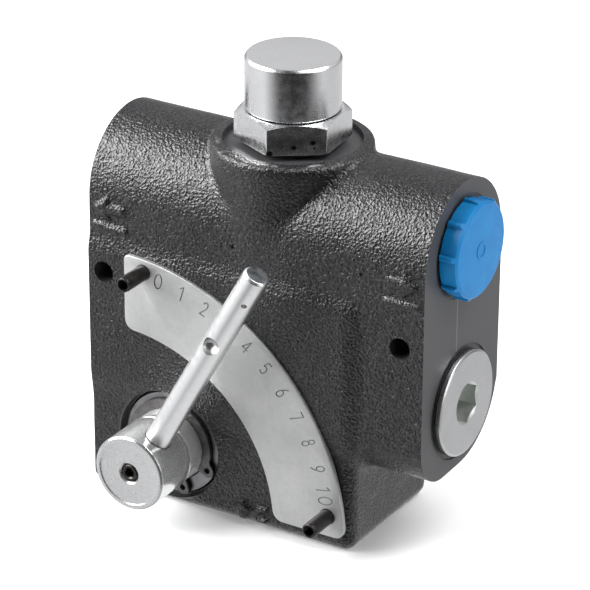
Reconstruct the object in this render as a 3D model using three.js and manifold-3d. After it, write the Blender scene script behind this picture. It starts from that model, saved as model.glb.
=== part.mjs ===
// Three-port, pressure-compensated rotary flow control valve with a built-in relief cartridge.
// Millimetres, +Z up. The origin is the centre of the flat back face, level with the two mounting
// holes. +X points to the excess-flow (EF) port, -Y to the front with the lever and the dial.
import * as THREE from "three";
import { mergeVertices } from "three/addons/utils/BufferGeometryUtils.js";
import Module from "manifold-3d";

const wasm = await Module();
wasm.setup();

// ---------------------------------------------------------------- driving dimensions
const X_LEFT = -60.2; // machined face of the controlled-flow (CF) port
const X_RIGHT = 60.1; // machined face of the excess-flow (EF) port
const Y_FRONT = -48.4; // cast front face
const Y_MID = -24.45; // centre plane of the gallery
const Z_BOTTOM = -76.1; // machined face of the inlet (IN) port
const BLOCK_RIGHT = 36; // right side of the lower block
const GALLERY_Z = 24.1;
const GALLERY_R = 23.95;
const LOWER_Z = -23.6;
const LOWER_R = 24.2;
const PORT_Z = 27; // CF and EF ports
const PORT_Y = -25;
const PORT_R = 12.2; // core of a 3/4 inch parallel thread
const PORT_MOUTH_R = 13.6;
const PORT_DEPTH = 19;
const HOLE_LEFT_X = -54.4; // mounting holes, 106.3 apart
const HOLE_RIGHT_X = 51.9;
const HOLE_R = 3.55;
const HUB_X = -31.7; // axis of the rotary spool
const HUB_Z = -55.8;
const HUB_R = 12.6;
const HUB_FACE = -71.3;
const HUB_BACK = -54.3;
const LEVER_DEG = 60.8; // rest angle of the lever above +X
const LEVER_Y = -63;
const LEVER_R = 4.2;
const LEVER_END = 87; // from the spool's axis
const PLATE_X = -46.4; // centre of the dial plate's arcs
const PLATE_Z = -72.4;
const PLATE_RO = 81;
const PLATE_RI = 55.3;
const PLATE_T = 2;
const PIN_R = 2.5;
const PIN_ZERO = [-38.9, 4.0];
const PIN_TEN = [28.7, -63.1];
const PIN_TIP = -62;
const COMP_Z = -26; // compensator bore
const COMP_Y = -24;
const COMP_R = 9.2;
const PLUG_R = 17.15;
const RELIEF_X = 0; // relief cartridge axis
const RELIEF_Y = -25;
const SEAT_Z = 47.8;
const HEX_R = 18.3;
const HEX_LOW = 49.7;
const HEX_TOP = 59.35;
const HEX_TURN = 35.1;
const CAP_R = 15;
const CAP_TOP = 76.7;
const GAP = 0.3; // clearance between pieces that touch
const FINENESS = 0.6; // facets round a turned piece, against the numbers given with each

// ---------------------------------------------------------------- shape tools
const rad = Math.PI / 180;

function solid(geometry) {
  let g = geometry.index ? geometry.toNonIndexed() : geometry.clone();
  g.deleteAttribute("normal");
  g.deleteAttribute("uv");
  g = mergeVertices(g, 1e-4);
  const idx = g.index.array;
  const tri = [];
  for (let i = 0; i < idx.length; i += 3) {
    const [a, b, c] = [idx[i], idx[i + 1], idx[i + 2]];
    if (a !== b && b !== c && a !== c) tri.push(a, b, c);
  }
  const make = (t) =>
    new wasm.Manifold(
      new wasm.Mesh({
        numProp: 3,
        vertProperties: new Float32Array(g.attributes.position.array),
        triVerts: new Uint32Array(t),
      }),
    );
  let m = make(tri);
  if (m.volume() < 0) {
    for (let i = 0; i < tri.length; i += 3) [tri[i + 1], tri[i + 2]] = [tri[i + 2], tri[i + 1]];
    m = make(tri);
  }
  return m;
}

function geometryOf(m) {
  const mesh = m.getMesh();
  const n = mesh.numProp;
  const v = new Float32Array(mesh.numVert * 3);
  for (let i = 0; i < mesh.numVert; i++) v.set(mesh.vertProperties.subarray(i * n, i * n + 3), i * 3);
  const g = new THREE.BufferGeometry();
  g.setAttribute("position", new THREE.BufferAttribute(v, 3));
  g.setIndex(new THREE.BufferAttribute(new Uint32Array(mesh.triVerts), 1));
  const flat = g.toNonIndexed();
  flat.computeVertexNormals();
  return flat;
}

const facets = (seg) => Math.max(12, 2 * Math.round((seg * FINENESS) / 2));

// A turned piece: profile of [radius, position along the axis] pairs, about x, y or z through `at`.
function turned(axis, at, profile, seg = 40) {
  const g = new THREE.LatheGeometry(profile.map(([r, a]) => new THREE.Vector2(r, a)), facets(seg));
  if (axis === "z") g.rotateX(Math.PI / 2);
  if (axis === "x") g.rotateZ(-Math.PI / 2);
  g.translate(at[0], at[1], at[2]);
  return solid(g);
}
const rod = (axis, at, r, a, b, seg = 40) => turned(axis, at, [[0, a], [r, a], [r, b], [0, b]], seg);
const ring = (axis, at, ri, ro, a, b, seg = 40) =>
  turned(axis, at, [[ri, a], [ro, a], [ro, b], [ri, b], [ri, a]], seg);

function prism(points, depth) {
  const shape = new THREE.Shape(points.map(([a, b]) => new THREE.Vector2(a, b)));
  return new THREE.ExtrudeGeometry(shape, { depth, bevelEnabled: false, steps: 1 });
}
// outline in (x, z), solid from y0 towards the front by depth
const slabY = (points, y0, depth) => {
  const g = prism(points, depth);
  g.rotateX(Math.PI / 2);
  g.translate(0, y0, 0);
  return solid(g);
};
// outline in (y, z), solid from x0 to x1
const slabX = (points, x0, x1) => {
  const g = prism(points, x1 - x0);
  const m = new THREE.Matrix4().makeBasis(
    new THREE.Vector3(0, 1, 0),
    new THREE.Vector3(0, 0, 1),
    new THREE.Vector3(1, 0, 0),
  );
  g.applyMatrix4(m);
  g.translate(x0, 0, 0);
  return solid(g);
};
// outline in (x, y), solid from z0 to z1
const slabZ = (points, z0, z1) => {
  const g = prism(points, z1 - z0);
  g.translate(0, 0, z0);
  return solid(g);
};
const arc = (cx, cy, r, a0, a1, n) =>
  Array.from({ length: n + 1 }, (_, i) => {
    const a = (a0 + ((a1 - a0) * i) / n) * rad;
    return [cx + r * Math.cos(a), cy + r * Math.sin(a)];
  });
const hexagon = (cx, cy, r, turn) =>
  Array.from({ length: 6 }, (_, i) => [
    cx + r * Math.cos((turn + 60 * i) * rad),
    cy + r * Math.sin((turn + 60 * i) * rad),
  ]);
const torus = (axis, at, R, r, a) =>
  turned(axis, at, [...arc(R, a, r, 0, 288, 4), [R + r, a]], 36);

class Helix extends THREE.Curve {
  constructor(R, turns, length) {
    super();
    this.R = R;
    this.turns = turns;
    this.length = length;
  }
  getPoint(t, p = new THREE.Vector3()) {
    const a = 2 * Math.PI * this.turns * t;
    // ground flat end coils: the pitch closes up over the last turn at each end
    const e = 1 / this.turns;
    const k = 1 / (1 - e);
    const h = t < e ? (0.5 * k * t * t) / e : t > 1 - e ? 1 - (0.5 * k * (1 - t) * (1 - t)) / e : 0.5 * k * e + k * (t - e);
    return p.set(this.R * Math.cos(a), this.R * Math.sin(a), this.length * h);
  }
}
function spring(R, wire, turns, length) {
  const section = new THREE.Shape(arc(0, 0, wire, 0, 288, 4).map(([a, b]) => new THREE.Vector2(a, b)));
  return new THREE.ExtrudeGeometry(section, {
    steps: Math.round(turns * 10),
    bevelEnabled: false,
    extrudePath: new Helix(R, turns, length - 2 * wire),
  }).translate(0, 0, wire);
}

const flow_control_valve = new THREE.Group();
flow_control_valve.name = "flow_control_valve";
const looks = {
  casting: { color: 0x2b2b2d, roughness: 0.5, metalness: 0.3 },
  zinc: { color: 0xc9cac8, roughness: 0.35, metalness: 0.9 },
  plate: { color: 0xbfc1c2, roughness: 0.5, metalness: 0.8 },
  dark: { color: 0x2e2c2b, roughness: 0.45, metalness: 0.8 },
  steel: { color: 0x9b9c9e, roughness: 0.3, metalness: 0.95 },
  rubber: { color: 0x161616, roughness: 0.7, metalness: 0 },
  blue: { color: 0x1672c4, roughness: 0.4, metalness: 0 },
  spring: { color: 0x8d8f92, roughness: 0.3, metalness: 0.95 },
};
const materials = Object.fromEntries(
  Object.entries(looks).map(([k, v]) => [k, new THREE.MeshStandardMaterial(v)]),
);
function piece(name, look, shape, group = flow_control_valve) {
  const mesh = new THREE.Mesh(shape.isBufferGeometry ? shape : geometryOf(shape), materials[look]);
  mesh.name = name;
  group.add(mesh);
  return mesh;
}

// ---------------------------------------------------------------- casting
const section = [
  [0, LOWER_Z],
  [0, 15.4],
  [-0.5, 17.4],
  ...arc(Y_MID, GALLERY_Z, GALLERY_R, 0, 180, 26),
  [Y_FRONT, -34.2],
  ...arc(Y_FRONT + 14, -34, 13.9, 184, 270, 7),
  ...arc(-LOWER_R, LOWER_Z, LOWER_R, 270, 356, 12),
];
const blockOutline = [
  [X_LEFT, 0],
  [X_LEFT, Y_FRONT],
  ...arc(BLOCK_RIGHT - 4, Y_FRONT + 4, 4, 270, 360, 4),
  ...arc(BLOCK_RIGHT - 7, -7, 7, 0, 90, 5),
];
const relief = [RELIEF_X, RELIEF_Y, 0];
let body = slabX(section, X_LEFT, X_RIGHT)
  .add(slabZ(blockOutline, Z_BOTTOM, -18))
  .add(
    turned("z", relief, [[0, 12], [23.2, 12], [24, 26], [25.5, 46.5], [25.2, 48.6], [24, 49.6], [0, 49.6]], 64).subtract(
      slabZ([[-40, -0.5], [40, -0.5], [40, 10], [-40, 10]], 0, 60),
    ),
  );
const port = (axis, at, face, sign) =>
  turned(
    axis,
    at,
    [
      [0, face + 2 * sign],
      [PORT_MOUTH_R, face + 2 * sign],
      [PORT_MOUTH_R, face],
      [PORT_R, face - 1.4 * sign],
      [PORT_R, face - PORT_DEPTH * sign],
      [8, face - (PORT_DEPTH + 2) * sign],
      [0, face - (PORT_DEPTH + 2) * sign],
    ],
    40,
  );
const plugBore = (face, sign) =>
  turned(
    "x",
    [0, COMP_Y, COMP_Z],
    [
      [0, face + 3 * sign],
      [18.6, face + 3 * sign],
      [18.6, face - 0.5 * sign],
      [13.8, face - 0.5 * sign],
      [12.3, face - 2 * sign],
      [12.3, face - 14 * sign],
      [0, face - 14 * sign],
    ],
    40,
  );
const cuts = [
  rod("z", relief, 21.8, SEAT_Z, 55, 48), // spotface
  rod("z", relief, 12.4, 28.5, 50, 40), // cartridge thread
  rod("z", relief, 15, 14, 29, 32), // relief outlet chamber
  rod("z", relief, 9.8, 6, 15, 32), // nose bore
  rod("z", relief, 5.5, COMP_Z, 7, 20),
  port("x", [0, PORT_Y, PORT_Z], X_LEFT, -1),
  port("x", [0, PORT_Y, PORT_Z], X_RIGHT, 1),
  port("z", [0, PORT_Y, 0], Z_BOTTOM, -1),
  rod("x", [0, PORT_Y, PORT_Z], 8, X_LEFT + 18, -27, 24),
  rod("x", [0, PORT_Y, PORT_Z], 8, 5, X_RIGHT - 18, 24),
  rod("z", [-30, PORT_Y, 0], 6.5, COMP_Z, PORT_Z, 20), // CF passage down to the compensator
  rod("z", [30, PORT_Y, 0], 6.5, COMP_Z, PORT_Z, 20), // EF passage down to the compensator
  rod("x", [0, COMP_Y, COMP_Z], COMP_R, X_LEFT + 10, X_RIGHT - 10, 32),
  plugBore(X_LEFT, -1),
  plugBore(X_RIGHT, 1),
  rod("z", [0, PORT_Y, 0], 8, Z_BOTTOM + 18, COMP_Z, 24), // inlet passage
  rod("y", [HOLE_LEFT_X, 0, 0], HOLE_R, -52, 3, 28),
  rod("y", [HOLE_RIGHT_X, 0, 0], HOLE_R, -52, 3, 28),
  rod("y", [HUB_X, 0, HUB_Z], 18.6, -52, -45, 44),
  rod("y", [HUB_X, 0, HUB_Z], 17.9, -46, -38.4, 40),
  rod("y", [HUB_X, 0, HUB_Z], 15, -39, -34, 32),
  rod("y", [HUB_X, 0, HUB_Z], 10.3, -35, -6, 32),
  rod("x", [0, -22, -50], 5, HUB_X, 0, 16), // inlet to the metering bore
  rod("z", [HUB_X, -24, 0], 5, HUB_Z, COMP_Z, 16), // metering bore to the compensator
  rod("y", [PIN_ZERO[0], 0, PIN_ZERO[1]], PIN_R + GAP, -52, -38, 20),
  rod("y", [PIN_TEN[0], 0, PIN_TEN[1]], PIN_R + GAP, -52, -38, 20),
];
for (const c of cuts) body = body.subtract(c);
piece("valve_body", "casting", body);

// ---------------------------------------------------------------- dial plate and stop pins
const PLATE_LEFT = -46.1; // upright end
const PLATE_LOW = -70.1; // level end
const corner = (p, v, q, n = 4) =>
  Array.from({ length: n - 1 }, (_, i) => {
    const t = (i + 1) / n;
    return [0, 1].map((k) => (1 - t) ** 2 * p[k] + 2 * t * (1 - t) * v[k] + t * t * q[k]);
  });
const plateOutline = (() => {
  const outer = arc(PLATE_X, PLATE_Z, PLATE_RO, 4.1, 88.1, 30);
  const inner = arc(PLATE_X, PLATE_Z, PLATE_RI, 85.4, 6.6, 20);
  const upLow = [PLATE_LEFT, -13];
  const upHigh = [PLATE_LEFT, 6.4];
  const lowIn = [13, PLATE_LOW];
  const lowOut = [30.8, PLATE_LOW];
  return [
    ...outer,
    ...corner(outer[30], [PLATE_LEFT, 8.6], upHigh),
    upHigh,
    upLow,
    ...corner(upLow, [PLATE_LEFT, -17.1], inner[0]),
    ...inner,
    ...corner(inner[20], [8.8, PLATE_LOW], lowIn),
    lowIn,
    lowOut,
    ...corner(lowOut, [34.5, PLATE_LOW], outer[0]),
  ];
})();
let plate = slabY(plateOutline, Y_FRONT - GAP, PLATE_T);
for (const [x, z] of [PIN_ZERO, PIN_TEN])
  plate = plate.subtract(rod("y", [x, 0, z], PIN_R + GAP, -55, -45, 20));
piece("dial_plate", "plate", plate);

const stopPin = ([x, z]) => {
  const p = [x, 0, z];
  return turned(
    "y",
    p,
    [[1.5, PIN_TIP], [2.1, PIN_TIP], [PIN_R, PIN_TIP + 0.8], [PIN_R, -38.4], [1.5, -38.4], [1.5, PIN_TIP]],
    20,
  ).subtract(slabX([[-64, z - 0.5], [-36, z - 0.5], [-36, z + 0.5], [-64, z + 0.5]], x, x + 4));
};
piece("stop_pin_zero", "dark", stopPin(PIN_ZERO));
piece("stop_pin_ten", "dark", stopPin(PIN_TEN));

// ---------------------------------------------------------------- rotary spool, hub and lever
const hubAt = [HUB_X, 0, HUB_Z];
const leverDir = [Math.cos(LEVER_DEG * rad), Math.sin(LEVER_DEG * rad)];
// a round bar along the lever's axis, from s0 to s1 measured from the spool's axis
const alongLever = (profile, seg = 32) => {
  const g = new THREE.LatheGeometry(profile.map(([r, a]) => new THREE.Vector2(r, a)), facets(seg));
  g.rotateX(Math.PI / 2); // along +Z
  g.rotateY((90 - LEVER_DEG) * rad); // tipped towards +X
  g.translate(HUB_X, LEVER_Y, HUB_Z);
  return solid(g);
};
const leverHole = alongLever([[0, -7], [LEVER_R + GAP, -7], [LEVER_R + GAP, 30], [0, 30]]);

piece(
  "spindle_bush",
  "steel",
  turned("y", hubAt, [[12.6, -45.9], [17.6, -45.9], [17.6, -38.7], [12.6, -38.7], [12.6, -45.9]], 44),
);
let spool = turned(
  "y",
  hubAt,
  [
    [0, -68.3], [7.6, -68.3], [7.9, -67.8], [7.9, -54.0], [12.3, -54.0], [12.3, -47.7], [11.5, -47.7], [11.5, -45.9],
    [12.3, -45.9], [12.3, -43.2], [11.0, -43.2], [11.0, -40.8], [12.3, -40.8], [12.3, -38.4], [14.6, -38.4],
    [14.6, -35.4], [10, -35.4], [10, -30], [7.5, -29], [7.5, -26.5], [10, -25.5], [10, -8], [9, -7], [6, -7], [6, -27], [0, -27],
  ],
  40,
)
  .subtract(leverHole)
  .subtract(rod("y", hubAt, 3.3, -70, -60, 20))
  .subtract(slabX([[-24, HUB_Z - 4], [-16, HUB_Z - 4], [-16, HUB_Z + 4], [-24, HUB_Z + 4]], HUB_X, HUB_X + 14));
piece("rotary_spool", "steel", spool);

const spindleRing = (() => {
  // external retaining ring: an open ring with two eyes at the lower right
  const open = -47.5;
  const out = [];
  for (let i = 0; i <= 30; i++) {
    const a = open + 26 + ((360 - 52) * i) / 30;
    const bulge = i < 2 || i > 28 ? 17.9 : 15.3;
    out.push([HUB_X + bulge * Math.cos(a * rad), HUB_Z + bulge * Math.sin(a * rad)]);
  }
  for (let i = 30; i >= 0; i--) {
    const a = open + 22 + ((360 - 44) * i) / 30;
    out.push([HUB_X + 11.8 * Math.cos(a * rad), HUB_Z + 11.8 * Math.sin(a * rad)]);
  }
  let r = slabY(out, -46.2, 1.3);
  for (const a of [open + 29.5, open - 29.5])
    r = r.subtract(rod("y", [HUB_X + 15.6 * Math.cos(a * rad), 0, HUB_Z + 15.6 * Math.sin(a * rad)], 1, -49, -45, 12));
  return r;
})();
piece("spindle_ring", "dark", spindleRing);
piece("spindle_oring", "rubber", torus("y", hubAt, 11.8, 0.62, -42));

let hub = turned(
  "y",
  hubAt,
  [
    [0, HUB_FACE + 0.25], [10.7, HUB_FACE + 0.25], [11, HUB_FACE], [12.2, HUB_FACE], [HUB_R, HUB_FACE + 0.5],
    [HUB_R, -56.9], [12.2, -56.6], [12.2, -56.1], [HUB_R, -55.8], [HUB_R, HUB_BACK],
    [8.2, HUB_BACK], [8.2, -68.6], [0, -68.6],
  ],
  48,
)
  .subtract(alongLever([[0, 4], [LEVER_R + GAP, 4], [LEVER_R + GAP, 30], [0, 30]]))
  .subtract(rod("y", hubAt, 3.3, -75, -66, 20));
piece("control_hub", "zinc", hub);

const lever = alongLever([
  [0, -6.5], [3.4, -6.5], [LEVER_R, -5.5], [LEVER_R, LEVER_END - 1.2], [LEVER_R - 0.9, LEVER_END], [0, LEVER_END],
]).subtract(
  turned(
    "y",
    [HUB_X + 57.2 * leverDir[0], 0, HUB_Z + 57.2 * leverDir[1]],
    [[0, LEVER_Y - 1.2], [2.8, LEVER_Y - LEVER_R + 0.3], [2.8, LEVER_Y - 6], [0, LEVER_Y - 6]],
    20,
  ),
);
piece("control_lever", "zinc", lever);
const setScrew = turned(
  "y",
  hubAt,
  [[0, HUB_FACE + 0.5], [2.6, HUB_FACE + 0.5], [3, HUB_FACE + 0.9], [3, -67.9], [2.6, -67.5], [0, -67.5]],
  20,
).subtract(slabY(hexagon(HUB_X, HUB_Z, 1.73, 10), HUB_FACE + 2.8, 4));
piece("hub_set_screw", "dark", setScrew);

// ---------------------------------------------------------------- pressure compensator
const compAt = [0, COMP_Y, COMP_Z];
const plug = (face, sign) => {
  const f = (d) => face + d * sign;
  return turned(
    "x",
    compAt,
    [
      [0, f(-13)], [10.5, f(-13)], [12, f(-11.5)], [12, f(0.6)], [PLUG_R - 0.3, f(0.6)], [PLUG_R, f(0.9)],
      [PLUG_R, f(1.9)], [PLUG_R - 0.6, f(2.5)], [0, f(2.5)],
    ],
    44,
  ).subtract(
    sign > 0
      ? slabX(hexagon(COMP_Y, COMP_Z, 6.93, 92), f(-6), f(4))
      : slabX(hexagon(COMP_Y, COMP_Z, 6.93, 92), f(4), f(-6)),
  );
};
piece(
  "compensator_plug",
  "zinc",
  plug(X_RIGHT, 1).add(rod("x", compAt, 4, 32.3, X_RIGHT - 12, 24)),
);
piece("compensator_plug_seal", "rubber", ring("x", compAt, 12.5, 17.0, X_RIGHT - 0.2, X_RIGHT + 0.3, 40));
piece("spring_plug", "zinc", plug(X_LEFT, -1));
piece("spring_plug_seal", "rubber", ring("x", compAt, 12.5, 17.0, X_LEFT - 0.3, X_LEFT + 0.2, 40));
piece(
  "compensator_spool",
  "steel",
  turned(
    "x",
    compAt,
    [
      [0, -18], [6.7, -18], [6.7, -30], [8.4, -30], [8.9, -29.5], [8.9, -16], [5.5, -15], [5.5, -7], [8.9, -6], [8.9, 8],
      [5.5, 9], [5.5, 17], [8.9, 18], [8.9, 29.5], [8.4, 30], [4, 30], [4, 32], [0, 32],
    ],
    32,
  ),
);
const compSpring = new THREE.Group();
compSpring.position.set(X_LEFT + 13.3, COMP_Y, COMP_Z);
compSpring.rotation.y = Math.PI / 2;
flow_control_valve.add(compSpring);
piece("compensator_spring", "spring", spring(5.4, 0.9, 6, 28.6), compSpring);

// ---------------------------------------------------------------- relief cartridge
let cartridge = turned(
  "z",
  relief,
  [
    [7.6, 8.3], [9.3, 8.3], [9.5, 8.8], [9.5, 10], [8.3, 10], [8.3, 11.6], [9.5, 11.6], [9.5, 29.6], [11.8, 30.6], [11.8, HEX_LOW], [12, HEX_LOW], [17.9, HEX_LOW], [22, HEX_LOW + 2.4],
    [22, HEX_TOP - 3.6], [15.8, HEX_TOP], [12.3, HEX_TOP], [12.3, 64.7], [11.7, 65.3], [5.3, 65.3], [5.3, 54.6], [7.6, 53.4], [7.6, 8.3],
  ],
  48,
).intersect(
  slabZ(hexagon(RELIEF_X, RELIEF_Y, HEX_R, HEX_TURN), HEX_LOW, HEX_TOP)
    .add(rod("z", relief, 12.3, HEX_TOP - 1, 70, 48))
    .add(rod("z", relief, 12.3, 0, HEX_LOW + 1, 48)),
);
for (const a of [0, 90])
  cartridge = cartridge.subtract(
    (() => {
      const g = new THREE.LatheGeometry(
        [[0, -12], [2.4, -12], [2.4, 12], [0, 12]].map(([r, y]) => new THREE.Vector2(r, y)),
        16,
      );
      if (a) g.rotateZ(Math.PI / 2);
      g.translate(RELIEF_X, RELIEF_Y, 20);
      return solid(g);
    })(),
  );
piece("relief_cartridge", "zinc", cartridge);
piece("cartridge_seal", "rubber", torus("z", relief, 13.2, 0.75, SEAT_Z + 1.0));
piece("nose_seal", "rubber", torus("z", relief, 8.98, 0.52, 10.8));
piece(
  "relief_seat",
  "steel",
  turned("z", relief, [[2.8, 9], [7.3, 9], [7.3, 15.6], [4.2, 15.6], [2.8, 14.2], [2.8, 9]], 32),
);
piece(
  "relief_poppet",
  "steel",
  turned(
    "z",
    relief,
    [[0, 13.4], [1.6, 13.4], [4.4, 16.2], [4.4, 21.6], [7.2, 22.6], [7.2, 24.6], [4.0, 24.6], [4.0, 29], [3.4, 29.6], [0, 29.6]],
    28,
  ),
);
piece("relief_spring", "spring", spring(5.75, 1.1, 6.5, 22.2).translate(RELIEF_X, RELIEF_Y, 24.9));
piece(
  "spring_button",
  "steel",
  turned("z", relief, [[0, 43], [3.4, 43], [4.0, 43.6], [4.0, 47.4], [7.2, 47.4], [7.2, 51], [6.6, 51.6], [0, 51.6]], 28),
);
piece(
  "adjusting_screw",
  "zinc",
  turned("z", relief, [[0, 51.9], [4.3, 51.9], [5, 52.6], [5, 57.4], [3.9, 57.4], [3.9, 59], [5, 59], [5, 71], [4.4, 71.6], [0, 71.6]], 28).subtract(
    slabZ(hexagon(RELIEF_X, RELIEF_Y, 2.89, 20), 67, 75),
  ),
);
piece("adjuster_seal", "rubber", torus("z", relief, 4.55, 0.4, 58.2));
piece(
  "lock_nut",
  "zinc",
  turned("z", relief, [[5.3, 65.6], [8.4, 65.6], [10.5, 66.8], [10.5, 69.4], [8.4, 70.6], [5.3, 70.6], [5.3, 65.6]], 40).intersect(
    slabZ(hexagon(RELIEF_X, RELIEF_Y, 9.8, 12), 65, 72),
  ),
);
piece(
  "relief_cap",
  "zinc",
  turned(
    "z",
    relief,
    [
      [12.7, HEX_TOP + GAP], [CAP_R - 0.5, HEX_TOP + GAP], [CAP_R, HEX_TOP + GAP + 0.5], [CAP_R, CAP_TOP - 1], [CAP_R - 1, CAP_TOP],
      [0, CAP_TOP], [0, 73.6], [12.2, 73.6], [12.7, 73.1], [12.7, HEX_TOP + GAP],
    ],
    56,
  ),
);

// ---------------------------------------------------------------- shipping cap of the EF port
const efCap = (() => {
  const n = 9;
  const pts = [];
  for (let i = 0; i < n; i++) {
    const a = (360 / n) * i + 12;
    pts.push(...arc(PORT_Y, PORT_Z, 15.9, a + 4, a + 36, 4));
    pts.push([PORT_Y + 16.6 * Math.cos((a + 38) * rad), PORT_Z + 16.6 * Math.sin((a + 38) * rad)]);
    pts.push([PORT_Y + 16.6 * Math.cos((a + 42) * rad), PORT_Z + 16.6 * Math.sin((a + 42) * rad)]);
  }
  return slabX(pts, X_RIGHT + GAP, X_RIGHT + 6.3)
    .intersect(
      turned(
        "x",
        [0, PORT_Y, PORT_Z],
        [[0, X_RIGHT], [17, X_RIGHT], [17, X_RIGHT + 5], [15.2, X_RIGHT + 6.3], [0, X_RIGHT + 6.3]],
        44,
      ),
    )
    .add(
      turned(
        "x",
        [0, PORT_Y, PORT_Z],
        [[0, X_RIGHT + 1], [11.8, X_RIGHT + 1], [11.8, X_RIGHT - 8], [11, X_RIGHT - 9], [9.6, X_RIGHT - 9], [9.6, X_RIGHT - 0.5], [0, X_RIGHT - 0.5]],
        40,
      ),
    );
})();
piece("ef_port_cap", "blue", efCap);

export default flow_control_valve;
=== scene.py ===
import math
import bpy
import bmesh
import numpy as np
from mathutils import Matrix, Vector


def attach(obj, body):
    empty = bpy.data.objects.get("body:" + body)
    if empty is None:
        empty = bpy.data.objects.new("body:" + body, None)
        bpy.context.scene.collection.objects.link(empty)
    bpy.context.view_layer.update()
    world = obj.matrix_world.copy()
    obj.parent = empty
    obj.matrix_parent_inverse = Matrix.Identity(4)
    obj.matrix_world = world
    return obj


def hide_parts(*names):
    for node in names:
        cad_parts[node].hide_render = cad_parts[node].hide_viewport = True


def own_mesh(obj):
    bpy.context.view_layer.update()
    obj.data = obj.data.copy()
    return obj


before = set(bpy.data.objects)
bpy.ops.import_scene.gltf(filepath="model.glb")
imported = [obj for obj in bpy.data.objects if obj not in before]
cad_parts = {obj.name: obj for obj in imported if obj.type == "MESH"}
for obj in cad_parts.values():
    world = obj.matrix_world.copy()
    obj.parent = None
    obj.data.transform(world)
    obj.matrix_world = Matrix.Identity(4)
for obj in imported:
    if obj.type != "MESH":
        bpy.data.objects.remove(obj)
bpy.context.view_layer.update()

# ------------------------------------------------------------------ dimensions, millimetres
X_LEFT, X_RIGHT = -60.2, 60.1
Y_FRONT, Y_MID = -48.4, -24.45
Z_BOTTOM = -76.1
BLOCK_RIGHT = 36.0
GAL_Z, GAL_R = 24.1, 23.95
LOW_Z, LOW_R = -23.6, 24.2
PORT_Y, PORT_Z = -25.0, 27.0
HUB = (-31.7, -55.8)
LEVER_DEG, LEVER_Y, LEVER_R, LEVER_END = 60.8, -63.0, 4.2, 87.0
PLATE = (-46.4, -72.4)
PIN_ZERO, PIN_TEN = (-38.9, 4.0), (28.7, -63.1)
COMP = (-24.0, -26.0)
RELIEF = (0.0, -25.0)
SEAT_Z = 47.8


# ------------------------------------------------------------------ mesh tools
def make(name, verts, faces, recalc=True):
    """A mesh object from millimetre vertices."""
    me = bpy.data.meshes.new(name)
    me.from_pydata([tuple(float(c) * 0.001 for c in v) for v in verts], [], [tuple(int(i) for i in f) for f in faces])
    ob = bpy.data.objects.new(name, me)
    bpy.context.scene.collection.objects.link(ob)
    bm = bmesh.new()
    bm.from_mesh(me)
    bmesh.ops.remove_doubles(bm, verts=bm.verts, dist=1e-7)
    if recalc:
        bmesh.ops.recalc_face_normals(bm, faces=bm.faces)
    bm.to_mesh(me)
    bm.free()
    return ob


def drop(ob):
    bpy.data.objects.remove(ob, do_unlink=True)


def axes(axis, at):
    """Maps (a, b, c) = (across, across, along) to x, y, z for a turned piece about that axis."""
    ax, ay, az = at
    if axis == "x":
        return lambda u, v, w: (ax + w, ay + u, az + v)
    if axis == "y":
        return lambda u, v, w: (ax + v, ay + w, az + u)
    return lambda u, v, w: (ax + u, ay + v, az + w)


def rounded(points, n=4):
    """(r, a) or (r, a, fillet radius) points into a polyline with the fillets drawn."""
    out = []
    m = len(points)
    for i, p in enumerate(points):
        if len(p) < 3 or p[2] <= 0 or i in (0, m - 1):
            out.append((p[0], p[1]))
            continue
        c = np.array(p[:2], float)
        a = np.array(points[i - 1][:2], float) - c
        b = np.array(points[i + 1][:2], float) - c
        la, lb = np.linalg.norm(a), np.linalg.norm(b)
        a, b = a / la, b / lb
        half = math.acos(max(-1, min(1, float(a @ b)))) / 2
        if half > math.pi / 2 - 1e-3 or half < 1e-3:
            out.append(tuple(c))
            continue
        d = min(p[2] / math.tan(half), la * 0.49, lb * 0.49)
        p0, p1 = c + a * d, c + b * d
        for k in range(n + 1):
            t = k / n
            q = (1 - t) ** 2 * p0 + 2 * t * (1 - t) * c + t * t * p1
            out.append((float(q[0]), float(q[1])))
    return out


def turned(name, axis, at, profile, seg=96, closed=False):
    """A turned solid; the profile runs from the axis back to the axis, or is a closed ring."""
    place = axes(axis, at)
    pts = rounded(profile)
    verts, rings = [], []
    for r, a in pts:
        if r < 1e-6:
            rings.append([len(verts)])
            verts.append(place(0, 0, a))
        else:
            rings.append(list(range(len(verts), len(verts) + seg)))
            for k in range(seg):
                t = 2 * math.pi * k / seg
                verts.append(place(r * math.cos(t), r * math.sin(t), a))
    faces = []
    pairs = list(zip(rings, rings[1:]))
    if closed:
        pairs.append((rings[-1], rings[0]))
    for p, q in pairs:
        for k in range(seg):
            j = (k + 1) % seg
            if len(p) == 1 and len(q) == 1:
                continue
            if len(p) == 1:
                faces.append((p[0], q[k], q[j]))
            elif len(q) == 1:
                faces.append((p[k], p[j], q[0]))
            else:
                faces.append((p[k], p[j], q[j], q[k]))
    return make(name, verts, faces)


def rod(name, axis, at, r, a, b, seg=64):
    return turned(name, axis, at, [(0, a), (r, a), (r, b), (0, b)], seg)


def slab(name, plane, outline, lo, hi):
    """A flat outline pushed from lo to hi. plane 'y': outline in (x, z); 'x': in (y, z); 'z': in (x, y)."""
    n = len(outline)
    f = {"y": lambda u, v, w: (u, w, v), "x": lambda u, v, w: (w, u, v), "z": lambda u, v, w: (u, v, w)}[plane]
    verts = [f(u, v, lo) for u, v in outline] + [f(u, v, hi) for u, v in outline]
    faces = [tuple(range(n)), tuple(range(2 * n - 1, n - 1, -1))]
    faces += [(i, (i + 1) % n, n + (i + 1) % n, n + i) for i in range(n)]
    return make(name, verts, faces)


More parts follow.
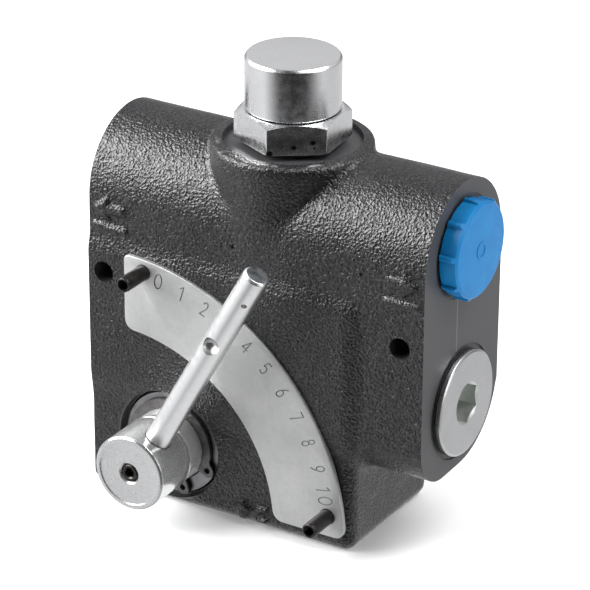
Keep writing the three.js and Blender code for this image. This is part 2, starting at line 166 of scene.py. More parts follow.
def soften(ob, width, segments=3, angle=40):
    """Rounds every edge sharper than angle."""
    bm = bmesh.new()
    bm.from_mesh(ob.data)
    bm.normal_update()
    edges = [e for e in bm.edges if len(e.link_faces) == 2 and e.calc_face_angle(0) > math.radians(angle)]
    bmesh.ops.bevel(
        bm, geom=edges, offset=width * 0.001, offset_type="OFFSET", segments=segments, profile=0.5, affect="EDGES",
        clamp_overlap=True,
    )
    bm.to_mesh(ob.data)
    bm.free()
    return ob


def settle(ob):
    dg = bpy.context.evaluated_depsgraph_get()
    dg.update()
    me = bpy.data.meshes.new_from_object(ob.evaluated_get(dg))
    ob.modifiers.clear()
    old = ob.data
    ob.data = me
    bpy.data.meshes.remove(old)
    return ob


def boolean(ob, other, op, keep=False):
    m = ob.modifiers.new("b", "BOOLEAN")
    m.operation = op
    m.solver = "MANIFOLD"
    m.object = other
    before = len(ob.data.polygons)
    settle(ob)
    if not len(ob.data.polygons) or (before and op == "DIFFERENCE" and len(ob.data.polygons) < 4):
        raise RuntimeError("a boolean emptied " + ob.name)
    if not keep:
        drop(other)
    return ob


def cut(ob, *others):
    for o in others:
        boolean(ob, o, "DIFFERENCE")
    return ob


def join(ob, *others):
    for o in others:
        boolean(ob, o, "UNION")
    return ob


def smooth(ob, angle=32):
    me = ob.data
    me.polygons.foreach_set("use_smooth", [True] * len(me.polygons))
    me.set_sharp_from_angle(angle=math.radians(angle))
    me.update()
    return ob


def arc(cx, cy, r, a0, a1, n):
    return [
        (cx + r * math.cos(math.radians(a0 + (a1 - a0) * i / n)), cy + r * math.sin(math.radians(a0 + (a1 - a0) * i / n)))
        for i in range(n + 1)
    ]


def hexagon(cx, cy, r, turn):
    return [(cx + r * math.cos(math.radians(turn + 60 * i)), cy + r * math.sin(math.radians(turn + 60 * i))) for i in range(6)]


def bezier(p, v, q, n=8):
    return [
        tuple((1 - t) ** 2 * p[k] + 2 * t * (1 - t) * v[k] + t * t * q[k] for k in (0, 1))
        for t in [(i + 1) / n for i in range(n - 1)]
    ]


def thread(r_core, r_major, a0, a1, pitch, inward=False):
    """Ridge profile of a thread between two positions along the axis: (r, a) points."""
    n = max(1, int(abs(a1 - a0) / pitch))
    step = (a1 - a0) / n
    out = []
    for i in range(n):
        a = a0 + i * step
        out += [(r_core, a), (r_core, a + 0.12 * step), (r_major, a + 0.47 * step), (r_major, a + 0.6 * step), (r_core, a + 0.95 * step)]
    out.append((r_core, a1))
    return out


def tube(name, centre, r, sides=10, closed=False):
    """A tube along a list of points, with caps."""
    P = np.array(centre, float)
    n = len(P)
    T = np.gradient(P, axis=0)
    T /= np.linalg.norm(T, axis=1)[:, None]
    up = np.array([0.3, 0.2, 0.93])
    verts, faces = [], []
    N = np.cross(T[0], up)
    N /= np.linalg.norm(N)
    for i in range(n):
        N = N - T[i] * (N @ T[i])
        N /= np.linalg.norm(N)
        B = np.cross(T[i], N)
        for k in range(sides):
            t = 2 * math.pi * k / sides
            verts.append(P[i] + r * (math.cos(t) * N + math.sin(t) * B))
    for i in range(n - 1):
        for k in range(sides):
            j = (k + 1) % sides
            faces.append((i * sides + k, i * sides + j, (i + 1) * sides + j, (i + 1) * sides + k))
    faces.append(tuple(range(sides)))
    faces.append(tuple((n - 1) * sides + k for k in range(sides - 1, -1, -1)))
    return make(name, verts, faces)


# ------------------------------------------------------------------ materials
class Nodes:
    def __init__(self, name):
        self.mat = bpy.data.materials.new(name)
        self.mat.use_nodes = True
        self.t = self.mat.node_tree
        self.bsdf = self.t.nodes["Principled BSDF"]
        self.coord = self.t.nodes.new("ShaderNodeTexCoord").outputs["Object"]

    def set(self, **values):
        for k, v in values.items():
            self.bsdf.inputs[k.replace("_", " ")].default_value = v
        return self

    def link(self, a, b):
        self.t.links.new(a, b)

    def scaled(self, sx, sy, sz):
        m = self.t.nodes.new("ShaderNodeMapping")
        m.inputs["Scale"].default_value = (sx, sy, sz)
        self.link(self.coord, m.inputs["Vector"])
        return m.outputs["Vector"]

    def noise(self, scale, detail=3.0, rough=0.5, vector=None, distortion=0.0):
        n = self.t.nodes.new("ShaderNodeTexNoise")
        n.inputs["Scale"].default_value = scale
        n.inputs["Detail"].default_value = detail
        n.inputs["Roughness"].default_value = rough
        n.inputs["Distortion"].default_value = distortion
        self.link(vector or self.coord, n.inputs["Vector"])
        return n.outputs["Fac"]

    def voronoi(self, scale, feature="F1", vector=None, rand=1.0):
        n = self.t.nodes.new("ShaderNodeTexVoronoi")
        n.feature = feature
        n.inputs["Scale"].default_value = scale
        n.inputs["Randomness"].default_value = rand
        self.link(vector or self.coord, n.inputs["Vector"])
        return n.outputs["Distance"]

    def ramp(self, fac, stops, interp="LINEAR"):
        r = self.t.nodes.new("ShaderNodeValToRGB")
        r.color_ramp.interpolation = interp
        e = r.color_ramp.elements
        while len(e) < len(stops):
            e.new(0.5)
        for s, (p, c) in zip(e, stops):
            s.position = p
            s.color = (*c, 1) if len(c) == 3 else c
        self.link(fac, r.inputs["Fac"])
        return r.outputs["Color"]

    def grey(self, fac, p0, v0, p1, v1):
        m = self.t.nodes.new("ShaderNodeMapRange")
        m.inputs["From Min"].default_value, m.inputs["From Max"].default_value = p0, p1
        m.inputs["To Min"].default_value, m.inputs["To Max"].default_value = v0, v1
        self.link(fac, m.inputs["Value"])
        return m.outputs["Result"]

    def math(self, op, a, b):
        m = self.t.nodes.new("ShaderNodeMath")
        m.operation = op
        for i, v in enumerate((a, b)):
            if isinstance(v, (int, float)):
                m.inputs[i].default_value = v
            else:
                self.link(v, m.inputs[i])
        return m.outputs[0]

    def mix(self, fac, a, b):
        m = self.t.nodes.new("ShaderNodeMix")
        m.data_type = "RGBA"
        if isinstance(fac, (int, float)):
            m.inputs[0].default_value = fac
        else:
            self.link(fac, m.inputs[0])
        for i, v in ((6, a), (7, b)):
            if isinstance(v, tuple):
                m.inputs[i].default_value = (*v, 1)
            else:
                self.link(v, m.inputs[i])
        return m.outputs[2]

    def bump(self, height, strength, distance_mm, before=None):
        b = self.t.nodes.new("ShaderNodeBump")
        b.inputs["Strength"].default_value = strength
        b.inputs["Distance"].default_value = distance_mm * 0.001
        self.link(height, b.inputs["Height"])
        if before is not None:
            self.link(before, b.inputs["Normal"])
        return b.outputs["Normal"]

    def radius(self, axis, at):
        """Distance from an axis, as a single value: for lathe marks round a turned face."""
        sep = self.t.nodes.new("ShaderNodeSeparateXYZ")
        self.link(self.coord, sep.inputs[0])
        names = {"x": ("Y", "Z"), "y": ("X", "Z"), "z": ("X", "Y")}[axis]
        d = [self.math("SUBTRACT", sep.outputs[n], v * 0.001) for n, v in zip(names, at)]
        return self.math("POWER", self.math("ADD", self.math("MULTIPLY", d[0], d[0]), self.math("MULTIPLY", d[1], d[1])), 0.5)


def cast_paint():
    m = Nodes("black_cast_paint")
    m.set(Metallic=0.0, Specular_IOR_Level=0.52)
    m.bsdf.inputs["Coat Weight"].default_value = 0.22
    m.bsdf.inputs["Coat Roughness"].default_value = 0.2
    broad = m.noise(35, 3, 0.55)
    col = m.ramp(broad, [(0.3, (0.0045, 0.0045, 0.0052)), (0.7, (0.0075, 0.0075, 0.0085))])
    fine = m.noise(900, 2, 0.5)
    col2 = m.mix(m.grey(fine, 0.5, 0.0, 0.8, 0.4), col, (0.016, 0.016, 0.017))
    # a lighter painted rim where the spotface of the relief boss breaks out at the front: partly rubbed paint, partly
    # a painted highlight for the bright edge
    sep = m.t.nodes.new("ShaderNodeSeparateXYZ")
    m.link(m.coord, sep.inputs[0])
    ring = m.math("ABSOLUTE", m.math("SUBTRACT", m.radius("z", RELIEF), 0.0232), 0.0)
    rim_wear_and_highlight = m.math("MULTIPLY", m.grey(ring, 0.0003, 1.0, 0.0009, 0.0), m.grey(sep.outputs[2], 0.0477, 0.0, 0.0484, 1.0))
    rim_wear_and_highlight = m.math("MULTIPLY", rim_wear_and_highlight, m.grey(sep.outputs[1], -0.042, 1.0, -0.036, 0.0))
    rim_wear_and_highlight = m.math("MULTIPLY", rim_wear_and_highlight, m.grey(m.noise(170, 5, 0.7), 0.47, 0.0, 0.6, 0.75))
    col2 = m.mix(rim_wear_and_highlight, col2, (0.3, 0.3, 0.31))
    m.link(col2, m.bsdf.inputs["Base Color"])
    m.link(m.grey(m.noise(300, 3, 0.6), 0.3, 0.24, 0.7, 0.38), m.bsdf.inputs["Roughness"])
    grain = m.noise(1250, 2.0, 0.5, distortion=0.15)
    cells = m.voronoi(1100)
    h = m.math("ADD", m.math("MULTIPLY", grain, 1.0), m.math("MULTIPLY", cells, 0.45))
    m.link(m.grey(h, 0.5, 0.25, 0.95, 0.8), m.bsdf.inputs["Specular IOR Level"])
    n1 = m.bump(h, 1.0, 0.38)
    n2 = m.bump(m.noise(420, 2, 0.5), 0.25, 0.2, n1)
    m.link(n2, m.bsdf.inputs["Normal"])
    m.link(n1, m.bsdf.inputs["Coat Normal"])
    return m.mat


def machined_paint():
    m = Nodes("machined_face_paint")
    m.set(Metallic=0.0, Specular_IOR_Level=0.5)
    streak = m.noise(1, 4, 0.6, m.scaled(1900, 1900, 90))
    col = m.ramp(streak, [(0.3, (0.044, 0.044, 0.046)), (0.72, (0.06, 0.06, 0.063))])
    # a thin lighter line painted between the port and the plug of the right face: a parting-line residue there, its
    # highlight painted in as colour
    sep = m.t.nodes.new("ShaderNodeSeparateXYZ")
    m.link(m.coord, sep.inputs[0])
    off = m.math("ABSOLUTE", m.math("ADD", sep.outputs[1], 0.0275), 0.0)
    line = m.math("MULTIPLY", m.grey(off, 0.00012, 0.6, 0.00034, 0.0), m.grey(sep.outputs[0], 0.058, 0.0, 0.059, 1.0))
    line = m.math("MULTIPLY", line, m.grey(sep.outputs[2], 0.0118, 1.0, 0.0122, 0.0))
    line = m.math("MULTIPLY", line, m.grey(sep.outputs[2], -0.0102, 0.0, -0.0096, 1.0))
    col = m.mix(line, col, (0.2, 0.2, 0.2))
    m.link(col, m.bsdf.inputs["Base Color"])
    m.link(m.grey(streak, 0.3, 0.36, 0.7, 0.5), m.bsdf.inputs["Roughness"])
    n1 = m.bump(streak, 0.25, 0.05)
    n2 = m.bump(m.noise(260, 2, 0.5), 0.12, 0.2, n1)
    m.link(n2, m.bsdf.inputs["Normal"])
    return m.mat


def bore_metal():
    m = Nodes("bore_metal")
    m.set(Metallic=0.7)
    n = m.noise(240, 4, 0.6)
    m.link(m.ramp(n, [(0.3, (0.06, 0.06, 0.063)), (0.7, (0.12, 0.118, 0.115))]), m.bsdf.inputs["Base Color"])
    m.link(m.grey(n, 0.3, 0.32, 0.7, 0.48), m.bsdf.inputs["Roughness"])
    m.link(m.bump(m.noise(900, 3, 0.6), 0.2, 0.05), m.bsdf.inputs["Normal"])
    return m.mat


def zinc(name, axis, at, base=(0.76, 0.765, 0.775), rough=(0.2, 0.32), turning=True, tint=(0.7, 0.7, 0.68)):
    m = Nodes(name)
    m.set(Metallic=1.0)
    cloud = m.noise(120, 4, 0.6)
    col = m.mix(m.grey(cloud, 0.35, 0.0, 0.75, 0.6), base, tint)
    speck = m.noise(1500, 2, 0.6)
    col = m.mix(m.grey(speck, 0.5, 0.0, 0.85, 0.14), col, tuple(c * 0.85 for c in base))
    m.link(col, m.bsdf.inputs["Base Color"])
    m.link(m.grey(m.noise(420, 4, 0.65), 0.3, rough[0], 0.7, rough[1]), m.bsdf.inputs["Roughness"])
    if turning:
        r = m.radius(axis, at)
        sep = m.t.nodes.new("ShaderNodeSeparateXYZ")
        m.link(m.coord, sep.inputs[0])
        along = sep.outputs[axis.upper()]
        comb = m.t.nodes.new("ShaderNodeCombineXYZ")
        m.link(r, comb.inputs[0])
        m.link(along, comb.inputs[1])
        marks = m.noise(5200, 2, 0.6, comb.outputs[0])
        n1 = m.bump(marks, 0.12, 0.012)
    else:
        n1 = m.bump(m.noise(2600, 3, 0.6), 0.1, 0.015)
    n2 = m.bump(m.noise(600, 3, 0.6), 0.1, 0.03, n1)
    m.link(n2, m.bsdf.inputs["Normal"])
    return m.mat


def plate_metal():
    m = Nodes("dial_plate_metal")
    m.set(Metallic=0.85)
    cloud = m.noise(70, 4, 0.6)
    col = m.ramp(cloud, [(0.3, (0.48, 0.485, 0.485)), (0.7, (0.58, 0.582, 0.58))])
    speck = m.noise(900, 3, 0.6)
    col = m.mix(m.grey(speck, 0.5, 0.0, 0.8, 0.45), col, (0.42, 0.42, 0.42))
    m.link(col, m.bsdf.inputs["Base Color"])
    m.link(m.grey(m.noise(350, 4, 0.6), 0.3, 0.42, 0.7, 0.56), m.bsdf.inputs["Roughness"])
    n1 = m.bump(m.noise(1500, 3, 0.6), 0.3, 0.04)
    n2 = m.bump(m.noise(220, 2, 0.5), 0.1, 0.15, n1)
    m.link(n2, m.bsdf.inputs["Normal"])
    return m.mat


def dark_steel(name="phosphated_steel", base=((0.03, 0.028, 0.027), (0.07, 0.066, 0.064)), rough=(0.28, 0.45)):
    m = Nodes(name)
    m.set(Metallic=0.85)
    n = m.noise(500, 4, 0.6)
    m.link(m.ramp(n, [(0.3, base[0]), (0.72, base[1])]), m.bsdf.inputs["Base Color"])
    m.link(m.grey(m.noise(700, 3, 0.6), 0.3, rough[0], 0.7, rough[1]), m.bsdf.inputs["Roughness"])
    m.link(m.bump(m.noise(1400, 3, 0.6), 0.25, 0.04), m.bsdf.inputs["Normal"])
    return m.mat


def steel(name="machined_steel", base=((0.36, 0.36, 0.37), (0.5, 0.5, 0.5)), rough=(0.24, 0.38)):
    m = Nodes(name)
    m.set(Metallic=1.0)
    n = m.noise(180, 4, 0.6)
    m.link(m.ramp(n, [(0.3, base[0]), (0.72, base[1])]), m.bsdf.inputs["Base Color"])
    m.link(m.grey(m.noise(600, 3, 0.6), 0.3, rough[0], 0.7, rough[1]), m.bsdf.inputs["Roughness"])
    m.link(m.bump(m.noise(1600, 3, 0.6), 0.2, 0.03), m.bsdf.inputs["Normal"])
    return m.mat


def rubber():
    m = Nodes("seal_rubber")
    n = m.noise(400, 4, 0.6)
    m.link(m.ramp(n, [(0.3, (0.012, 0.012, 0.012)), (0.7, (0.026, 0.026, 0.027))]), m.bsdf.inputs["Base Color"])
    m.link(m.grey(n, 0.3, 0.5, 0.7, 0.7), m.bsdf.inputs["Roughness"])
    m.link(m.bump(m.noise(1800, 2, 0.5), 0.2, 0.03), m.bsdf.inputs["Normal"])
    return m.mat


def blue_plastic():
    m = Nodes("blue_polyethylene")
    m.set(Subsurface_Weight=0.12, Subsurface_Scale=0.002, IOR=1.5, Specular_IOR_Level=0.3)
    m.bsdf.inputs["Subsurface Radius"].default_value = (0.3, 0.6, 1.0)
    cloud = m.noise(140, 3, 0.5)
    col = m.ramp(cloud, [(0.3, (0.0015, 0.15, 0.4)), (0.7, (0.003, 0.185, 0.45))])
    m.link(col, m.bsdf.inputs["Base Color"])
    m.link(m.grey(m.noise(500, 3, 0.6), 0.3, 0.3, 0.7, 0.42), m.bsdf.inputs["Roughness"])
    n1 = m.bump(m.noise(1600, 3, 0.6), 0.15, 0.03)
    n2 = m.bump(m.noise(160, 2, 0.5), 0.12, 0.2, n1)
    m.link(n2, m.bsdf.inputs["Normal"])
    return m.mat


M_CAST, M_FACE, M_BORE = cast_paint(), machined_paint(), bore_metal()
M_PLATE, M_DARK, M_STEEL, M_RUBBER, M_BLUE = plate_metal(), dark_steel(), steel(), rubber(), blue_plastic()
M_ENGRAVE = steel("engraved_line", ((0.26, 0.26, 0.26), (0.38, 0.38, 0.38)), (0.45, 0.6))
M_LEVER_END = dark_steel("lever_end_metal", ((0.05, 0.055, 0.06), (0.2, 0.21, 0.22)), (0.4, 0.6))
M_SPRING = steel("spring_wire", ((0.2, 0.2, 0.21), (0.3, 0.3, 0.3)), (0.2, 0.34))


def zinc_knob():
    """The face of the knob is dull from facing and its turned side is smoother; the side's much lighter colour is a
    painted highlight, and the darker chamfer rings are painted shade.
    """
    m = Nodes("zinc_hub")
    m.set(Metallic=0.8)
    r = m.radius("y", HUB)
    side = m.grey(r, 0.01248, 0.0, 0.01256, 1.0)
    cloud = m.grey(m.noise(120, 4, 0.6), 0.35, 0.0, 0.75, 0.6)
    face = m.mix(cloud, (0.55, 0.555, 0.56), (0.5, 0.505, 0.495))
    # the chamfer rings painted darker: painted shade that dims their highlight
    face = m.mix(m.grey(r, 0.01203, 0.0, 0.0121, 1.0), face, (0.4, 0.405, 0.41))
    # the turned side painted much lighter: a painted highlight standing for its reflected streaks
    wall = m.mix(cloud, (0.93, 0.935, 0.94), (0.85, 0.855, 0.85))
    m.link(m.mix(side, face, wall), m.bsdf.inputs["Base Color"])
    grain = m.noise(420, 4, 0.65)
    low = m.grey(grain, 0.3, 0.22, 0.7, 0.3)
    fine = m.grey(grain, 0.3, 0.13, 0.7, 0.19)
    m.link(m.math("ADD", m.math("MULTIPLY", fine, side), m.math("MULTIPLY", low, m.math("SUBTRACT", 1.0, side))), m.bsdf.inputs["Roughness"])
    sep = m.t.nodes.new("ShaderNodeSeparateXYZ")
    m.link(m.coord, sep.inputs[0])
    comb = m.t.nodes.new("ShaderNodeCombineXYZ")
    m.link(r, comb.inputs[0])
    m.link(sep.outputs["Y"], comb.inputs[1])
    n1 = m.bump(m.noise(5200, 2, 0.6, comb.outputs[0]), 0.1, 0.01)
    m.link(m.bump(m.noise(600, 3, 0.6), 0.08, 0.02, n1), m.bsdf.inputs["Normal"])
    return m.mat


M_HUB = zinc_knob()
M_LEVER = zinc("zinc_lever", "y", HUB, base=(0.84, 0.845, 0.85), tint=(0.78, 0.785, 0.77), rough=(0.3, 0.42), turning=False)
M_CAP = zinc("zinc_cap", "z", RELIEF, rough=(0.2, 0.32))
M_HEX = zinc("zinc_hexagon", "z", RELIEF, rough=(0.2, 0.32), turning=False)
M_PLUG = zinc("zinc_plug", "x", COMP, base=(0.6, 0.605, 0.61), tint=(0.5, 0.505, 0.49), rough=(0.24, 0.36))
M_SOCKET = zinc("zinc_socket", "x", COMP, base=(0.68, 0.7, 0.68), tint=(0.58, 0.6, 0.58), rough=(0.3, 0.45), turning=False)


def finish_piece(ob, body, materials, nodes=(), angle=32):
    materials = materials if isinstance(materials, (list, tuple)) else [materials]
    if len(ob.data.materials) != len(materials):
        idx = [min(p.material_index, len(materials) - 1) for p in ob.data.polygons]
        ob.data.materials.clear()
        for m in materials:
            ob.data.materials.append(m)
        ob.data.polygons.foreach_set("material_index", idx)
    else:
        for i, m in enumerate(materials):
            ob.data.materials[i] = m
    smooth(ob, angle)
    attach(ob, body)
    if nodes:
        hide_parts(*nodes)
    return ob


# ------------------------------------------------------------------ casting
def poly_sdf(px, py, poly):
    """Signed distance of points to a closed polygon, negative inside."""
    d = np.full(px.shape, 1e9, np.float32)
    s = np.ones(px.shape, np.float32)
    n = len(poly)
    j = n - 1
    for i in range(n):
        ax, ay = poly[i]
        bx, by = poly[j]
        ex, ey = bx - ax, by - ay
        wx, wy = px - ax, py - ay
        t = np.clip((wx * ex + wy * ey) / (ex * ex + ey * ey + 1e-12), 0, 1)
        d = np.minimum(d, (wx - ex * t) ** 2 + (wy - ey * t) ** 2)
        c1, c2, c3 = py >= ay, py < by, ex * wy > ey * wx
        flip = (c1 & c2 & c3) | (~c1 & ~c2 & ~c3)
        s = np.where(flip, -s, s)
        j = i
    return s * np.sqrt(d)


def smin(a, b, k):
    h = np.clip(k - np.abs(a - b), 0, None) / k
    return np.minimum(a, b) - h * h * k * 0.25


def surface_nets(f, origin, h):
    """Closed quad surface of f = 0 on a grid, as vertices and faces."""
    inside = f < 0
    nx, ny, nz = f.shape
    total = np.zeros((nx - 1, ny - 1, nz - 1), np.int8)
    corners = [(i, j, k) for i in (0, 1) for j in (0, 1) for k in (0, 1)]
    for i, j, k in corners:
        total += inside[i : nx - 1 + i, j : ny - 1 + j, k : nz - 1 + k]
    cells = np.argwhere((total > 0) & (total < 8))
    index = np.full((nx - 1, ny - 1, nz - 1), -1, np.int32)
    index[tuple(cells.T)] = np.arange(len(cells))
    pos = np.zeros((len(cells), 3))
    cnt = np.zeros(len(cells))
    for a in corners:
        for axis in range(3):
            if a[axis]:
                continue
            b = list(a)
            b[axis] = 1
            fa = f[cells[:, 0] + a[0], cells[:, 1] + a[1], cells[:, 2] + a[2]]
            fb = f[cells[:, 0] + b[0], cells[:, 1] + b[1], cells[:, 2] + b[2]]
            hit = (fa < 0) != (fb < 0)
            t = fa[hit] / (fa[hit] - fb[hit])
            p = np.array(a, float) + np.zeros((hit.sum(), 3))
            p[:, axis] += t
            pos[hit] += p
            cnt[hit] += 1
    pos = pos / cnt[:, None] + cells
    quads = []
    for axis in range(3):
        sl0, sl1 = [slice(None)] * 3, [slice(None)] * 3
        sl0[axis], sl1[axis] = slice(0, -1), slice(1, None)
        a, b = inside[tuple(sl0)], inside[tuple(sl1)]
        e = np.argwhere(a != b)
        u, v = [(1, 2), (2, 0), (0, 1)][axis]
        ok = (e[:, u] > 0) & (e[:, v] > 0) & (e[:, u] < f.shape[u] - 1) & (e[:, v] < f.shape[v] - 1)
        e = e[ok]
        fwd = a[tuple(e.T)]
        q = []
        for du, dv in ((1, 1), (0, 1), (0, 0), (1, 0)):
            c = e.copy()
            c[:, u] -= du
            c[:, v] -= dv
            q.append(index[tuple(c.T)])
        q = np.stack(q, 1)
        q[~fwd] = q[~fwd][:, ::-1]
        quads.append(q)
    quads = np.concatenate(quads)
    # settle the vertices on the surface
    grad = np.stack(np.gradient(f), -1)
    top = np.array(f.shape) - 1.001
    for _ in range(3):
        p = np.clip(pos, 0, top)
        i = p.astype(int)
        t = p - i
        val, g = np.zeros(len(p)), np.zeros((len(p), 3))
        for a in corners:
            w = np.prod([t[:, k] if a[k] else 1 - t[:, k] for k in range(3)], axis=0)
            at = (i[:, 0] + a[0], i[:, 1] + a[1], i[:, 2] + a[2])
            val += w * f[at]
            g += w[:, None] * grad[at]
        g2 = np.maximum((g * g).sum(1), 1e-6)
        step = -0.8 * (val / g2)[:, None] * g
        length = np.linalg.norm(step, axis=1, keepdims=True)
        step *= np.minimum(1, 0.3 / np.maximum(length, 1e-9))
        pos = pos + step
    return pos * h + np.array(origin), quads


def value_noise(p, size, seed):
    """Smooth noise from -1 to 1, with features of that size."""
    rng = np.random.default_rng(seed)
    n = 64
    table = rng.uniform(-1, 1, (n, n, n)).astype(np.float32)
    q = p / size
    i = np.floor(q).astype(int)
    t = q - i
    t = t * t * (3 - 2 * t)
    out = np.zeros(len(p))
    for a in ((x, y, z) for x in (0, 1) for y in (0, 1) for z in (0, 1)):
        w = np.prod([t[:, k] if a[k] else 1 - t[:, k] for k in range(3)], axis=0)
        out += w * table[(i[:, 0] + a[0]) % n, (i[:, 1] + a[1]) % n, (i[:, 2] + a[2]) % n]
    return out


def arrow(cx, cz, length, width, angle):
    s = width
    pts = [(-length / 2, -s * 0.22), (length * 0.04, -s * 0.22), (length * 0.04, -s * 0.6), (length / 2, 0),
           (length * 0.04, s * 0.6), (length * 0.04, s * 0.22), (-length / 2, s * 0.22)]
    c, n = math.cos(math.radians(angle)), math.sin(math.radians(angle))
    return [(cx + c * x - n * z, cz + n * x + c * z) for x, z in pts]


MARKS = [
    arrow(-52.6, 21.6, 11.2, 6.4, 180), [(-58.6, 14.7), (-46.2, 14.4), (-46.2, 16.0), (-58.6, 16.3)],
    arrow(52.4, 21.4, 11.2, 6.4, 0), [(46.4, 14.2), (58.2, 14.2), (58.2, 15.8), (46.4, 15.8)],
    arrow(-3.6, -70.9, 6.6, 6.4, 90), [(1.4, -73.9), (5.4, -73.9), (5.4, -72.3), (1.4, -72.3)], [(1.4, -69.9), (5.4, -69.9), (5.4, -68.3), (1.4, -68.3)],
]


def casting_shell(h):
    xs = np.arange(-64, 64 + h, h, dtype=np.float32)
    ys = np.arange(-53, 4 + h, h, dtype=np.float32)
    zs = np.arange(-80, 54 + h, h, dtype=np.float32)
    Y, Z = np.meshgrid(ys, zs, indexing="ij")
    section = (
        [(1.6, LOW_Z), (1.6, 15.6), (-0.5, 18.4)]
        + arc(Y_MID, GAL_Z, GAL_R, 0, 180, 48)
        + [(Y_FRONT, -34.2)]
        + arc(Y_FRONT + 14, -34, 14, 182, 270, 14)
        + arc(-LOW_R, LOW_Z, LOW_R, 271, 345, 20)
    )
    sec = poly_sdf(Y, Z, section)[None, :, :]
    X3, Y3, Z3 = np.meshgrid(xs, ys, zs, indexing="ij")
    # lower block
    def rbox(x0, x1, y0, y1, z0, z1, r):
        qx = np.abs(X3 - (x0 + x1) / 2) - (x1 - x0) / 2 + r
        qy = np.abs(Y3 - (y0 + y1) / 2) - (y1 - y0) / 2 + r
        qz = np.abs(Z3 - (z0 + z1) / 2) - (z1 - z0) / 2 + r
        return (
            np.sqrt(np.maximum(qx, 0) ** 2 + np.maximum(qy, 0) ** 2 + np.maximum(qz, 0) ** 2)
            + np.minimum(np.maximum(qx, np.maximum(qy, qz)), 0)
            - r
        )
    block = rbox(-72, BLOCK_RIGHT, Y_FRONT, 1.6, Z_BOTTOM - 0.12, 10, 4.2)
    d = smin(np.broadcast_to(sec, block.shape), block, 5.0)
    # relief boss
    R3 = np.sqrt(X3**2 + (Y3 - RELIEF[1]) ** 2)
    outline = rounded(
        [(0, 8), (23.2, 8), (23.5, 18), (24.0, 26), (25.5, 46.2, 2), (25.3, 48.9, 1.6), (22, 49.35, 1), (0, 49.35)], 4
    )
    outline = [(-30, 8)] + outline[1:-1] + [(-30, 50.0)]
    boss = poly_sdf(R3, Z3, outline)
    boss = np.maximum(boss, Y3 + 0.4)
    d = smin(d, boss, 1.5)
    # raised cast marks: a flow arrow and a bar beside each port, and one over the inlet
    XX, ZZ = np.meshgrid(xs, zs, indexing="ij")
    raised = np.zeros(XX.shape, np.float32)
    for mark in MARKS:
        t = np.clip((0.35 - poly_sdf(XX, ZZ, mark)) / 0.7, 0, 1)
        raised = np.maximum(raised, 1.15 * t * t * (3 - 2 * t))
    d = d - raised[:, None, :] * (Y3 < -22)
    d = np.maximum(d, np.abs(X3) - 63)
    v, q = surface_nets(d, (xs[0], ys[0], zs[0]), h)
    return v, q


